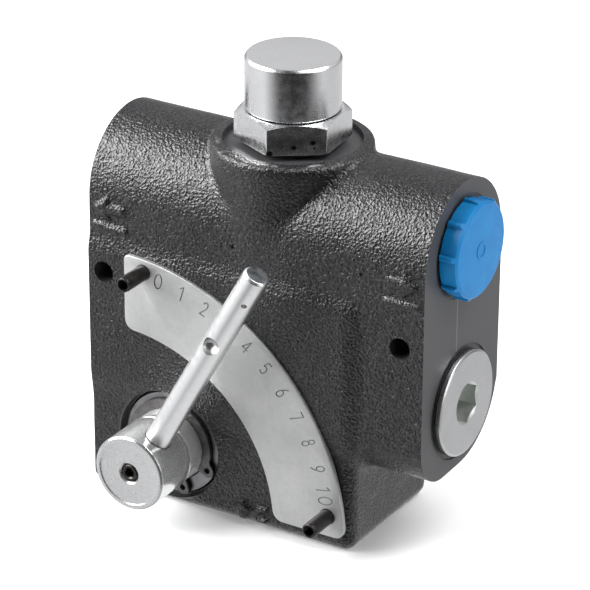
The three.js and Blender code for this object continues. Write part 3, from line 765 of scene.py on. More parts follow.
def casting():
    v, q = casting_shell(0.6)
    # the skin of a sand casting: a soft unevenness and a coarse grain
    me = bpy.data.meshes.new("valve_casting")
    me.vertices.add(len(v))
    me.vertices.foreach_set("co", (v * 0.001).astype(np.float32).ravel())
    me.loops.add(len(q) * 4)
    me.loops.foreach_set("vertex_index", q.astype(np.int32).ravel())
    me.polygons.add(len(q))
    me.polygons.foreach_set("loop_start", np.arange(0, len(q) * 4, 4, dtype=np.int32))
    me.update(calc_edges=True)
    me.validate()
    me.update()
    no = np.zeros(len(v) * 3, np.float32)
    me.vertices.foreach_get("normal", no)
    no = no.reshape(-1, 3)
    amount = 0.1 * value_noise(v, 11.0, 3) + 0.014 * value_noise(v, 2.6, 5) + 0.008 * value_noise(v, 1.2, 7)
    v = v + no * amount[:, None]
    me.vertices.foreach_set("co", (v * 0.001).astype(np.float32).ravel())
    me.update()
    ob = bpy.data.objects.new("valve_casting", me)
    bpy.context.scene.collection.objects.link(ob)
    for m in (M_CAST, M_FACE, M_BORE):
        me.materials.append(m)

    def tool(o, index):
        for m in (M_CAST, M_FACE, M_BORE):
            o.data.materials.append(m)
        o.data.polygons.foreach_set("material_index", [index] * len(o.data.polygons))
        return o

    # machined faces
    cut(ob, tool(slab("t", "x", [(-80, -100), (20, -100), (20, 80), (-80, 80)], X_RIGHT, 90), 1))
    cut(ob, tool(slab("t", "x", [(-80, -100), (20, -100), (20, 80), (-80, 80)], -90, X_LEFT), 1))
    cut(ob, tool(slab("t", "y", [(-90, -100), (90, -100), (90, 60), (-90, 60)], 0, 20), 1))
    cut(ob, tool(slab("t", "z", [(-90, -80), (90, -80), (90, 20), (-90, 20)], Z_BOTTOM - 20, Z_BOTTOM), 1))

    def port(axis, at, face, sign):
        s = sign
        prof = [(0, face + 4 * s), (16.6, face + 4 * s), (16.6, face - 0.35 * s), (13.9, face - 0.35 * s), (13.25, face - 1.2 * s)]
        th = thread(12.1, 13.2, face - 1.3 * s, face - 17.5 * s, 1.81)
        prof += [(13.2 if r > 12.5 else 12.1, a) for r, a in th]
        prof += [(12.1, face - 19 * s), (8, face - 21.2 * s), (0, face - 21.2 * s)]
        return turned("t", axis, at, prof, 72)

    cutter = tool(rod("t", "z", (*RELIEF, 0), 21.8, SEAT_Z, 60, 128), 1)
    join(
        cutter,
        tool(rod("t", "z", (*RELIEF, 0), 12.4, 28.5, 50), 2),
        tool(rod("t", "z", (*RELIEF, 0), 15, 14, 29), 2),
        tool(rod("t", "z", (*RELIEF, 0), 9.8, 6, 15), 2),
        tool(rod("t", "z", (*RELIEF, 0), 5.5, COMP[1], 7, 32), 2),
        tool(rod("t", "x", (0, PORT_Y, PORT_Z), 8, X_LEFT + 18, -27, 48), 2),
        tool(rod("t", "x", (0, PORT_Y, PORT_Z), 8, 5, X_RIGHT - 18, 48), 2),
        tool(rod("t", "z", (-30, PORT_Y, 0), 6.5, COMP[1], PORT_Z, 40), 2),
        tool(rod("t", "z", (30, PORT_Y, 0), 6.5, COMP[1], PORT_Z, 40), 2),
        tool(rod("t", "x", (0, *COMP), 9.2, X_LEFT + 10, X_RIGHT - 10), 2),
        tool(rod("t", "z", (0, PORT_Y, 0), 8, Z_BOTTOM + 18, COMP[1], 48), 2),
        tool(port("x", (0, PORT_Y, PORT_Z), X_LEFT, -1), 2),
        tool(port("x", (0, PORT_Y, PORT_Z), X_RIGHT, 1), 2),
        tool(port("z", (0, PORT_Y, 0), Z_BOTTOM, -1), 2),
    )
    for face, s in ((X_RIGHT, 1), (X_LEFT, -1)):
        prof = [(0, face + 3 * s), (18.7, face + 3 * s), (18.7, face - 0.5 * s), (13.8, face - 0.5 * s), (12.3, face - 2 * s),
                (12.3, face - 14 * s), (0, face - 14 * s)]
        join(cutter, tool(turned("t", "x", (0, *COMP), prof, 128), 1))
    at = (HUB[0], 0, HUB[1])
    join(
        cutter,
        tool(turned("t", "y", at, [(0, -56), (19.1, -56), (19.1, -48.6), (18.6, -48.0), (18.6, -45), (0, -45)], 128), 2),
        tool(rod("t", "y", at, 17.9, -46, -38.4, 96), 2),
        tool(rod("t", "y", at, 15, -39, -34), 2),
        tool(rod("t", "y", at, 10.3, -35, -6), 2),
        tool(rod("t", "x", (0, -22, -50), 5, HUB[0], 0, 32), 2),
        tool(rod("t", "z", (HUB[0], -24, 0), 5, HUB[1], COMP[1], 32), 2),
        tool(rod("t", "y", (-54.4, 0, 0), 3.55, -60, 8, 48), 2),
        tool(rod("t", "y", (51.9, 0, 0), 3.55, -60, 8, 48), 2),
        tool(rod("t", "y", (PIN_ZERO[0], 0, PIN_ZERO[1]), 2.8, -55, -38, 40), 2),
        tool(rod("t", "y", (PIN_TEN[0], 0, PIN_TEN[1]), 2.8, -55, -38, 40), 2),
    )
    cut(ob, cutter)
    # casting pinholes
    for x, z in ((-7.3, 19.5), (38.2, 21.3)):
        cut(ob, tool(turned("t", "y", (x, 0, z), [(0, -52), (0.75, -52), (0.75, -48.2), (0.5, -47.6), (0, -47.5)], 16), 2))
    return ob


body = casting()
finish_piece(body, "valve", [M_CAST, M_FACE, M_BORE], ("valve_body",), 38)


# ------------------------------------------------------------------ dial plate with numerals
STROKES = {
    "0": [arc(0, 0, 1, 90, 450, 24)],
    "1": [[(-0.55, 0.62), (0.1, 1.0), (0.1, -1.0)]],
    "2": [arc(0, 0.45, 0.55, 165, -35, 10) + [(-0.62, -1.0), (0.68, -1.0)]],
    "3": [arc(0, 0.5, 0.5, 150, -75, 10) + arc(0, -0.46, 0.54, 75, -155, 12)],
    "4": [[(0.3, -1.0), (0.3, 1.0), (-0.72, -0.42), (0.72, -0.42)]],
    "5": [[(0.55, 1.0), (-0.42, 1.0), (-0.55, 0.12)] + arc(-0.02, -0.36, 0.62, 112, -140, 14)],
    "6": [[(0.42, 0.98), (-0.1, 0.55)] + arc(0, -0.4, 0.6, 150, 510, 22)],
    "7": [[(-0.6, 1.0), (0.65, 1.0), (-0.15, -1.0)]],
    "8": [arc(0, 0.5, 0.47, -90, 270, 18), arc(0, -0.48, 0.54, 90, 450, 18)],
    "9": [[(-0.42, -0.98), (0.1, -0.55)] + arc(0, 0.4, 0.6, -30, 330, 22)],
}


def strokes(pts, y, r):
    """Cuts along a line of (x, z) points at the depth y: one short round-ended prism per segment."""
    tools = []
    for (x0, z0), (x1, z1) in zip(pts, pts[1:]):
        t = math.atan2(z1 - z0, x1 - x0)
        n = 8
        loop = [(x1 + r * math.cos(t - math.pi / 2 + math.pi * k / n), z1 + r * math.sin(t - math.pi / 2 + math.pi * k / n)) for k in range(n + 1)]
        loop += [(x0 + r * math.cos(t + math.pi / 2 + math.pi * k / n), z0 + r * math.sin(t + math.pi / 2 + math.pi * k / n)) for k in range(n + 1)]
        o = slab("t", "y", loop, y - 1, y + 0.22)
        tools.append(o)
    return tools


def dial():
    outer = arc(*PLATE, 81, 4.1, 88.1, 96)
    inner = arc(*PLATE, 55.3, 85.4, 6.6, 72)
    left, low = -46.1, -70.1
    outline = (
        outer + bezier(outer[-1], (left, 8.6), (left, 6.4)) + [(left, 6.4), (left, -13)]
        + bezier((left, -13), (left, -17.1), inner[0]) + inner
        + bezier(inner[-1], (8.8, low), (13, low)) + [(13, low), (30.8, low)] + bezier((30.8, low), (34.5, low), outer[0])
    )
    front = Y_FRONT - 2.3
    ob = slab("dial_plate_stamped", "y", outline, front, Y_FRONT - 0.3)
    soften(ob, 0.28, 3, 60)
    for m in (M_PLATE, M_ENGRAVE):
        ob.data.materials.append(m)
    for x, z in (PIN_ZERO, PIN_TEN):
        cut(ob, rod("t", "y", (x, 0, z), 2.68, -55, -45, 48))
    for i in range(11):
        a = 80.0 - 6.75 * i
        turn = math.radians(a - 90)
        cx = PLATE[0] + 75.8 * math.cos(math.radians(a))
        cz = PLATE[1] + 75.8 * math.sin(math.radians(a))
        text = str(i)
        for j, ch in enumerate(text):
            off = 0 if len(text) == 1 else (-1.9, 1.9)[j]
            for s in STROKES[ch]:
                w = 1.45 if ch != "0" else 1.35
                pts = [(off + x * w * (0.95 if ch == "0" else 1), z * 2.5) for x, z in s]
                pts = [(cx + math.cos(turn) * x - math.sin(turn) * z, cz + math.sin(turn) * x + math.cos(turn) * z) for x, z in pts]
                for o in strokes(pts, front, 0.2):
                    for m in (M_PLATE, M_ENGRAVE):
                        o.data.materials.append(m)
                    o.data.polygons.foreach_set("material_index", [1] * len(o.data.polygons))
                    cut(ob, o)
    return ob


finish_piece(dial(), "valve", [M_PLATE, M_ENGRAVE], ("dial_plate",), 30)


# ------------------------------------------------------------------ stop pins: rolled spring pins
def stop_pin(name, x, z, gap_deg):
    """A rolled pin: a C-shaped section with chamfered ends, from inside the casting to the tip."""
    tip, root = -62.0, -38.4
    n = 40
    verts, faces = [], []
    # along the pin: (position, outer radius, inner radius)
    rows = [(tip, 2.18, 1.86), (tip + 0.12, 2.32, 1.8), (tip + 0.6, 2.5, 1.76), (root - 1.1, 2.5, 1.74), (root, 1.95, 1.7)]
    half = 14
    for y, ro, ri in rows:
        for r in (ro, ri):
            for k in range(n + 1):
                t = math.radians(gap_deg + half + (360 - 2 * half) * k / n)
                verts.append((x + r * math.cos(t), y, z + r * math.sin(t)))
    w = 2 * (n + 1)
    for i in range(len(rows) - 1):
        for k in range(n):
            a, b = i * w + k, (i + 1) * w + k
            faces.append((a, a + 1, b + 1, b))
            c, d = a + n + 1, b + n + 1
            faces.append((c, d, d + 1, c + 1))
        for k in (0, n):
            a, b = i * w + k, (i + 1) * w + k
            faces.append((a, b, b + n + 1, a + n + 1))
    for i in (0, len(rows) - 1):
        for k in range(n):
            a = i * w + k
            faces.append((a, a + n + 1, a + n + 2, a + 1))
    ob = make(name, verts, faces)
    return ob


finish_piece(stop_pin("stop_pin_zero_rolled", *PIN_ZERO, -60), "valve", M_DARK, ("stop_pin_zero",), 35)
finish_piece(stop_pin("stop_pin_ten_rolled", *PIN_TEN, -60), "valve", M_DARK, ("stop_pin_ten",), 35)

# ------------------------------------------------------------------ hub, lever and the rotary spool
hub_at = (HUB[0], 0, HUB[1])
ld = (math.cos(math.radians(LEVER_DEG)), math.sin(math.radians(LEVER_DEG)))


def along_lever(ob):
    """Tips a piece turned about +Z through the origin onto the lever's axis."""
    m = Matrix.Translation((HUB[0] * 0.001, LEVER_Y * 0.001, HUB[1] * 0.001)) @ Matrix.Rotation(
        math.radians(90 - LEVER_DEG), 4, "Y"
    )
    ob.data.transform(m)
    return ob


lever = along_lever(
    turned(
        "lever_bar", "z", (0, 0, 0),
        [(0, -6.5), (3.4, -6.5, 0.3), (LEVER_R, -5.6, 0.5), (LEVER_R, LEVER_END - 0.75, 0.4), (LEVER_R - 0.65, LEVER_END, 0.3), (0, LEVER_END - 0.05)],
        96,
    )
)
dimple = turned(
    "t", "y", (HUB[0] + 57.2 * ld[0], 0, HUB[1] + 57.2 * ld[1]),
    [(0, LEVER_Y - 1.3), (0.7, LEVER_Y - 1.38), (1.35, LEVER_Y - 1.62), (1.95, LEVER_Y - 2.02), (2.45, LEVER_Y - 2.56), (2.82, LEVER_Y - 3.2), (3.02, LEVER_Y - 4.0), (3.3, LEVER_Y - 6), (0, LEVER_Y - 6)], 64,
)
cut(lever, dimple)
pip = turned("t", "y", (HUB[0] + 77.2 * ld[0] + 2.4 * ld[1], 0, HUB[1] + 77.2 * ld[1] - 2.4 * ld[0]),
             [(0, LEVER_Y - 1.9), (0.7, LEVER_Y - 2.2), (0.95, LEVER_Y - 6), (0, LEVER_Y - 6)], 24)
cut(lever, pip)
for m in (M_LEVER, M_LEVER_END):
    lever.data.materials.append(m)
tip = Vector((ld[0], 0, ld[1]))
for p in lever.data.polygons:
    out = (p.center - Vector((HUB[0], LEVER_Y, HUB[1])) * 0.001).dot(tip)
    if out > (LEVER_END - 0.06) * 0.001 and p.normal.dot(tip) > 0.97:
        p.material_index = 1
finish_piece(lever, "control", [M_LEVER, M_LEVER_END], ("control_lever",), 28)

hub = turned(
    "hub_knob", "y", hub_at,
    [
        (0, -71.02), (10.5, -71.02, 0.3), (10.9, -71.3, 0.15), (12.0, -71.3, 0.25), (12.6, -70.65, 0.4), (12.6, -55.35, 0.15), (12.35, -55.05, 0.1),
        (12.35, -54.9, 0.05), (8.2, -54.9), (8.2, -68.6), (0, -68.6),
    ],
    144,
)
hole = along_lever(turned("t", "z", (0, 0, 0), [(0, 4), (4.45, 4), (4.45, 12.1), (5.0, 13.2), (5.0, 30), (0, 30)], 72))
cut(hub, hole, turned("t", "y", hub_at, [(0, -75), (3.7, -75), (3.7, -71.0), (3.2, -70.5), (3.2, -66), (0, -66)], 48))
finish_piece(hub, "control", M_HUB, ("control_hub",), 28)

screw = turned("set_screw", "y", hub_at, [(0, -70.75), (2.5, -70.75, 0.2), (3.0, -70.3, 0.15)] + thread(2.62, 3.0, -70.2, -68.0, 0.75)[1:] + [(2.6, -67.5), (0, -67.5)], 40)
cut(screw, slab("t", "y", hexagon(*HUB, 1.73, 10), -80, -68.6))
cut(screw, turned("t", "y", hub_at, [(0, -72), (2.1, -72), (2.1, -70.9), (1.4, -70.2), (0, -70.2)], 32))
finish_piece(screw, "control", M_DARK, ("hub_set_screw",), 28)

spool = turned(
    "spool_turned", "y", hub_at,
    [
        (0, -68.3), (7.6, -68.3), (7.9, -67.8), (7.9, -54.45), (12.0, -54.45, 0.1), (12.3, -54.15, 0.15), (12.3, -47.7), (11.5, -47.7), (11.5, -45.9),
        (12.3, -45.9), (12.3, -43.2), (11.0, -43.2), (11.0, -40.8), (12.3, -40.8), (12.3, -38.4), (14.6, -38.4),
        (14.6, -35.4), (10, -35.4), (10, -30), (7.5, -29), (7.5, -26.5), (10, -25.5), (10, -8), (9, -7), (6, -7), (6, -27), (0, -27),
    ],
    112,
)
cut(
    spool,
    along_lever(turned("t", "z", (0, 0, 0), [(0, -7.2), (4.5, -7.2), (4.5, 30), (0, 30)], 48)),
    rod("t", "y", hub_at, 3.3, -70, -60, 40),
    slab("t", "x", [(-24, HUB[1] - 4), (-16, HUB[1] - 4), (-16, HUB[1] + 4), (-24, HUB[1] + 4)], HUB[0], HUB[0] + 14),
)
M_SPOOL = steel("spool_steel", ((0.82, 0.825, 0.83), (0.92, 0.92, 0.92)), (0.14, 0.22))
M_SPOOL.node_tree.nodes["Principled BSDF"].inputs["Metallic"].default_value = 0.72
finish_piece(spool, "control", M_SPOOL, ("rotary_spool",), 28)

ring_pts = []
OPEN = -47.5


def ring_radius(a):
    """Outer radius of the retaining ring's body: wider opposite the gap; the eye at each end is drawn apart from it.
    """
    return 15.25 + 0.25 * math.cos(math.radians(a - OPEN - 180))


for i in range(73):
    a = OPEN + 31.5 + (360 - 63) * i / 72
    ring_pts.append((ring_radius(a), a))
eye = []
for s in (1, -1):
    mid = OPEN + s * 24.5
outer_line = []
end_a, end_b = OPEN + 16.5, OPEN + 31
# eye at the first end, the body, the eye at the last end
outer_line += [(r, a) for r, a in ((13.0, OPEN + 16), (14.6, OPEN + 16.3), (16.6, OPEN + 17.5), (17.35, OPEN + 20), (17.6, OPEN + 23.5), (17.45, OPEN + 27), (16.7, OPEN + 30.5), (15.6, OPEN + 33.5))]
outer_line += [(ring_radius(a), a) for a in np.linspace(OPEN + 37, OPEN + 323, 80)]
outer_line += [(r, a) for r, a in ((15.6, OPEN + 326.5), (16.7, OPEN + 329.5), (17.45, OPEN + 333), (17.6, OPEN + 336.5), (17.35, OPEN + 340), (16.6, OPEN + 342.5), (14.6, OPEN + 343.7), (13.0, OPEN + 344))]
inner_line = [(11.8, a) for a in np.linspace(OPEN + 343, OPEN + 17, 90)]
pts = [(HUB[0] + r * math.cos(math.radians(a)), HUB[1] + r * math.sin(math.radians(a))) for r, a in outer_line + inner_line]
ring = slab("retaining_ring", "y", pts, -47.5, -46.2)
for s in (1, -1):
    a = math.radians(OPEN + s * 24.5)
    cut(ring, rod("t", "y", (HUB[0] + 15.15 * math.cos(a), 0, HUB[1] + 15.15 * math.sin(a)), 1.05, -50, -45, 32))
finish_piece(ring, "control", dark_steel("ring_steel", ((0.11, 0.107, 0.106), (0.2, 0.195, 0.19)), (0.26, 0.4)), ("spindle_ring",), 35)

bush = turned(
    "bush_ring", "y", hub_at,
    [(12.6, -38.7), (17.6, -38.7), (17.6, -45.5, 0.2), (17.25, -45.9, 0.2), (12.9, -45.9, 0.1), (12.6, -45.6, 0.1), (12.6, -38.9)],
    128, closed=True,
)
finish_piece(bush, "valve", steel("bush_steel", ((0.26, 0.26, 0.265), (0.36, 0.36, 0.365)), (0.3, 0.44)), ("spindle_bush",), 35)


def torus(name, axis, at, R, r, a, seg=72, n=16):
    return turned(name, axis, at, [(R + r * math.cos(2 * math.pi * k / n), a + r * math.sin(2 * math.pi * k / n)) for k in range(n)], seg, closed=True)


finish_piece(torus("spindle_oring_round", "y", hub_at, 11.7, 0.68, -42), "control", M_RUBBER, ("spindle_oring",), 60)

# ------------------------------------------------------------------ compensator
comp_at = (0, *COMP)


def flanged_plug(name, face, s, nose):
    f = lambda d: face + d * s
    prof = [(0, f(2.5)), (16.35, f(2.5), 0.3), (17.15, f(2.05), 0.3), (17.15, f(0.75), 0.12), (16.9, f(0.6), 0.1), (12.0, f(0.6))]
    prof += thread(11.0, 12.05, f(-0.5), f(-11.5), 1.5)
    prof += [(10.5, f(-13))]
    if nose:
        prof += [(4, f(-13)), (4, 32.8), (3.5, 32.3), (0, 32.3)]
    else:
        prof += [(0, f(-13))]
    ob = turned(name, "x", comp_at, prof, 128)
    for m in (M_PLUG, M_SOCKET):
        ob.data.materials.append(m)
    def tool(o):
        for m in (M_PLUG, M_SOCKET):
            o.data.materials.append(m)
        o.data.polygons.foreach_set("material_index", [1] * len(o.data.polygons))
        return o
    lo, hi = sorted((f(-6), f(6)))
    cut(ob, tool(slab("t", "x", hexagon(*COMP, 6.93, 92), lo, hi)))
    cut(ob, tool(turned("t", "x", comp_at, [(0, f(6)), (10.3, f(6)), (6.35, f(2.05)), (0, f(2.05))], 64)) if False else tool(
        turned("t", "x", comp_at, [(0, f(5)), (7.2, f(5)), (7.2, f(2.62)), (5.7, f(1.75)), (0, f(1.75))], 64)))
    cut(ob, tool(turned("t", "x", comp_at, [(0, f(-5)), (5.4, f(-5)), (5.4, f(-6.4)), (0, f(-8.6))], 48)))
    return ob


finish_piece(flanged_plug("compensator_plug_flanged", X_RIGHT, 1, True), "valve", [M_PLUG, M_SOCKET], ("compensator_plug",), 28)
finish_piece(flanged_plug("spring_plug_flanged", X_LEFT, -1, False), "valve", [M_PLUG, M_SOCKET], ("spring_plug",), 28)


def seal_ring(name, a, b):
    return turned(name, "x", comp_at, [(12.6, a), (17.0, a, 0.15), (17.0, b, 0.15), (12.6, b), (12.6, (a + b) / 2)], 112, closed=True)


finish_piece(seal_ring("plug_washer", X_RIGHT - 0.2, X_RIGHT + 0.3), "valve", M_RUBBER, ("compensator_plug_seal",), 35)
finish_piece(seal_ring("spring_plug_washer", X_LEFT - 0.3, X_LEFT + 0.2), "valve", M_RUBBER, ("spring_plug_seal",), 35)
finish_piece(
    turned(
        "compensator_spool_turned", "x", comp_at,
        [
            (0, -18), (6.7, -18), (6.7, -30), (8.5, -30, 0.2), (8.9, -29.6, 0.2), (8.9, -25.4), (8.5, -25.2), (8.5, -24.6), (8.9, -24.4), (8.9, -16), (5.5, -15), (5.5, -7), (8.9, -6),
            (8.9, 0.6), (8.5, 0.8), (8.5, 1.4), (8.9, 1.6), (8.9, 8), (5.5, 9), (5.5, 17), (8.9, 18), (8.9, 29.6, 0.2), (8.5, 30, 0.2), (4, 30), (4, 31.6), (3.6, 32), (0, 32),
        ],
        96,
    ),
    "compensator", M_STEEL, ("compensator_spool",), 28,
)


def coil(name, R, wire, turns, length, place, part=(0, 1)):
    pts = []
    n = int(turns * 36)
    e = 1 / turns
    k = 1 / (1 - e)
    L = length - 2 * wire
    for i in range(int(part[0] * n), int(part[1] * n) + 1):
        t = i / n
        h = 0.5 * k * t * t / e if t < e else (1 - 0.5 * k * (1 - t) ** 2 / e if t > 1 - e else 0.5 * k * e + k * (t - e))
        a = 2 * math.pi * turns * t
        pts.append(place(R * math.cos(a), R * math.sin(a), wire + L * h))
    return tube(name, pts, wire, 12)


cs = coil("compensator_spring_wire", 5.4, 0.9, 6, 28.6, lambda u, v, w: (X_LEFT + 13.3 + w, COMP[0] + u, COMP[1] + v))
finish_piece(cs, "valve", M_SPRING, ("compensator_spring",), 60)
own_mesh(cs)
# the poppet presses the spring's lower half up and the spring button its upper half down, both towards the middle;
# here both halves are built at rest on the valve body
for name, part, joint, keep in (
    ("relief_spring_wire_low", (0, 0.5), "relief_lift", 0.75),
    ("relief_spring_wire_high", (0.5, 1), "adjuster_travel", 0.79),
):
    rs = coil(name, 5.75, 1.1, 6.5, 22.2, lambda u, v, w: (RELIEF[0] + u, RELIEF[1] + v, 24.9 + w), part)
    finish_piece(rs, "valve", M_SPRING, ("relief_spring",), 60)
    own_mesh(rs)

# ------------------------------------------------------------------ relief cartridge, cap and works
rel_at = (*RELIEF, 0)
HEX_R, HEX_TURN, HEX_LOW, HEX_TOP = 18.3, 35.1, 49.7, 59.35
cart = turned(
    "relief_cartridge_body", "z", rel_at,
    [
        (7.6, 8.3), (9.2, 8.3, 0.2), (9.5, 8.8), (9.5, 10), (8.3, 10), (8.3, 11.6), (9.5, 11.6), (9.5, 29.6), (11.0, 30.4)]
    + thread(10.9, 11.9, 31, 45.5, 1.5)
    + [(11.4, 46), (11.4, HEX_LOW - 0.01), (17.3, HEX_LOW), (18.9, HEX_LOW + 0.5), (22, HEX_LOW + 1.9),
        (22, HEX_TOP - 3.55), (15.7, HEX_TOP, 0.15), (12.2, HEX_TOP)]
    + thread(11.5, 12.35, HEX_TOP + 0.4, 64.6, 1.5)
    + [(11.2, 65.3), (5.6, 65.3), (5.3, 65.0), (5.3, 54.6), (7.6, 53.4)],
    128, closed=True,
)
body_hex = slab("t", "z", hexagon(*RELIEF, HEX_R, HEX_TURN), HEX_LOW - 0.3, HEX_TOP + 0.2)
bm = bmesh.new()
bm.from_mesh(body_hex.data)
up = [e for e in bm.edges if abs((e.verts[0].co - e.verts[1].co).z) > 0.005]
bmesh.ops.bevel(bm, geom=up, offset=0.0003, segments=3, profile=0.5, affect="EDGES")
bm.to_mesh(body_hex.data)
bm.free()
join(body_hex, rod("t", "z", rel_at, 12.7, HEX_TOP - 1, 70, 96), rod("t", "z", rel_at, 12.5, 0, HEX_LOW + 1, 96))
boolean(cart, body_hex, "INTERSECT")
for axis in ("x", "y"):
    at = (0, RELIEF[1], 20) if axis == "x" else (RELIEF[0], RELIEF[1], 20)
    cut(cart, turned("t", axis, at, [(0, -12), (2.4, -12), (2.4, 12), (0, 12)], 32))
for m in (M_HEX, M_DARK):
    cart.data.materials.append(m)
face_n = Vector((math.cos(math.radians(HEX_TURN + 270)), math.sin(math.radians(HEX_TURN + 270)), 0))
face_t = Vector((-face_n.y, face_n.x, 0))
for along, z, r in ((-0.9, 52.2, 0.85), (4.9, 53.6, 1.0), (-8.2, 50.3, 1.1), (5.4, 52.0, 0.45)):
    pit = turned("t", "z", (0, 0, 0), [(0, -0.7), (r * 0.6, -0.6), (r, 0.1), (r, 3), (0, 3)], 20)
    for m in (M_HEX, M_DARK):
        pit.data.materials.append(m)
    pit.data.polygons.foreach_set("material_index", [1] * len(pit.data.polygons))
    at = face_n * (HEX_R * math.cos(math.radians(30))) + face_t * along + Vector((RELIEF[0], RELIEF[1], z))
    pit.data.transform(Matrix.Translation(at * 0.001) @ face_n.to_track_quat("Z", "Y").to_matrix().to_4x4())
    cut(cart, pit)
finish_piece(cart, "valve", [M_HEX, M_DARK], ("relief_cartridge",), 24)
finish_piece(torus("cartridge_oring", "z", rel_at, 13.3, 0.85, SEAT_Z + 0.95), "valve", M_RUBBER, ("cartridge_seal",), 60)
finish_piece(torus("nose_oring", "z", rel_at, 8.98, 0.6, 10.8, 56, 12), "valve", M_RUBBER, ("nose_seal",), 60)
finish_piece(torus("adjuster_oring", "z", rel_at, 4.55, 0.5, 58.2, 48, 12), "adjuster", M_RUBBER, ("adjuster_seal",), 60)

cap = turned(
    "relief_cap_turned", "z", rel_at,
    [(12.5, HEX_TOP + 0.3), (14.7, HEX_TOP + 0.3, 0.2), (15.0, HEX_TOP + 0.75, 0.2), (15.0, 75.85, 0.5), (14.25, 76.7, 0.4), (0, 76.7), (0, 73.6), (12.0, 73.6), (12.6, 73.0)]
    + [(12.9 if r > 12.8 else 12.5, a) for r, a in thread(12.5, 12.9, 66.5, HEX_TOP + 1.2, 1.5)],
    144, closed=True,
)
# the profile runs through the axis: weld the two poles as ordinary points
finish_piece(cap, "cap", M_CAP, ("relief_cap",), 26)

finish_piece(
    turned("relief_seat_turned", "z", rel_at, [(2.8, 9), (7.3, 9, 0.2), (7.3, 15.6, 0.2), (4.2, 15.6), (2.8, 14.2), (2.8, 9.2)], 72, closed=True),
    "valve", M_STEEL, ("relief_seat",), 28,
)
finish_piece(
    turned("relief_poppet_turned", "z", rel_at, [(0, 13.4), (1.6, 13.4, 0.2), (4.4, 16.2), (4.4, 21.6), (7.2, 22.6, 0.2), (7.2, 24.6, 0.2), (4.0, 24.6), (4.0, 29), (3.4, 29.6), (0, 29.6)], 72),
    "poppet", M_STEEL, ("relief_poppet",), 28,
)
finish_piece(
    turned("spring_button_turned", "z", rel_at, [(0, 43), (3.4, 43, 0.2), (4.0, 43.6), (4.0, 47.4), (7.2, 47.4, 0.2), (7.2, 51, 0.2), (6.6, 51.6), (0, 51.6)], 72),
    "button", M_STEEL, ("spring_button",), 28,
)
adj = turned(
    "adjusting_screw_threaded", "z", rel_at,
    [(0, 51.9), (3.9, 51.9), (4.4, 52.4)] + thread(4.4, 5.0, 52.6, 57.2, 1.0) + [(3.9, 57.4), (3.9, 59), (4.4, 59)] + thread(4.4, 5.0, 59.2, 70.7, 1.0)
    + [(4.2, 71.6), (0, 71.6)], 56,
)
cut(adj, slab("t", "z", hexagon(*RELIEF, 2.89, 20), 67, 80))
cut(adj, turned("t", "z", rel_at, [(0, 73), (4.1, 73), (2.6, 71.3), (0, 71.3)], 40))
finish_piece(adj, "adjuster", zinc("zinc_screw", "z", RELIEF, turning=False), ("adjusting_screw",), 28)
nut = turned(
    "lock_nut_chamfered", "z", rel_at, [(5.6, 65.6), (8.3, 65.6), (8.6, 65.75), (10.8, 67.0), (10.8, 69.2), (8.3, 70.6), (5.6, 70.6), (5.25, 70.2), (5.25, 66.0)], 96, closed=True
)
boolean(nut, slab("t", "z", hexagon(*RELIEF, 9.8, 12), 60, 80), "INTERSECT")
finish_piece(nut, "locknut", zinc("zinc_nut", "z", RELIEF, turning=False), ("lock_nut",), 26)

# ------------------------------------------------------------------ shipping cap
def shipping_cap():
    n = 9
    pts = []
    for i in range(n):
        a = 360 / n * i + 12
        pts += arc(PORT_Y, PORT_Z, 15.3, a + 3.6, a + 36.4, 12)
        pts += bezier(pts[-1], (PORT_Y + 15.95 * math.cos(math.radians(a + 37)), PORT_Z + 15.95 * math.sin(math.radians(a + 37))),
                      (PORT_Y + 16.2 * math.cos(math.radians(a + 38.6)), PORT_Z + 16.2 * math.sin(math.radians(a + 38.6))), 4)
        pts += arc(PORT_Y, PORT_Z, 16.2, a + 38.6, a + 41.4, 3)
        nxt = (PORT_Y + 15.3 * math.cos(math.radians(a + 43.6)), PORT_Z + 15.3 * math.sin(math.radians(a + 43.6)))
        pts += bezier(pts[-1], (PORT_Y + 15.95 * math.cos(math.radians(a + 43)), PORT_Z + 15.95 * math.sin(math.radians(a + 43))), nxt, 4)
    ob = slab("shipping_cap_blue", "x", pts, X_RIGHT + 0.3, X_RIGHT + 6.3)
    at = (0, PORT_Y, PORT_Z)
    boolean(
        ob,
        turned("t", "x", at, [(0, X_RIGHT), (15.8, X_RIGHT), (16.6, X_RIGHT + 1.2), (16.6, X_RIGHT + 4.4, 1.0), (14.6, X_RIGHT + 6.2, 0.8), (0, X_RIGHT + 6.25)], 128),
        "INTERSECT",
    )
    shank = [(0, X_RIGHT + 1), (11.7, X_RIGHT + 1)] + thread(11.3, 11.9, X_RIGHT + 0.5, X_RIGHT - 8, 1.81) + [(10.8, X_RIGHT - 9), (9.6, X_RIGHT - 9), (9.6, X_RIGHT - 0.5), (0, X_RIGHT - 0.5)]
    join(ob, turned("t", "x", at, shank, 96))
    # moulding gate mark on the face
    join(ob, turned("t", "x", at, [(1.9, X_RIGHT + 6), (2.9, X_RIGHT + 6), (2.8, X_RIGHT + 6.45), (2.05, X_RIGHT + 6.45)], 40, closed=True))
    return ob


finish_piece(shipping_cap(), "shipping_cap", M_BLUE, ("ef_port_cap",), 30)

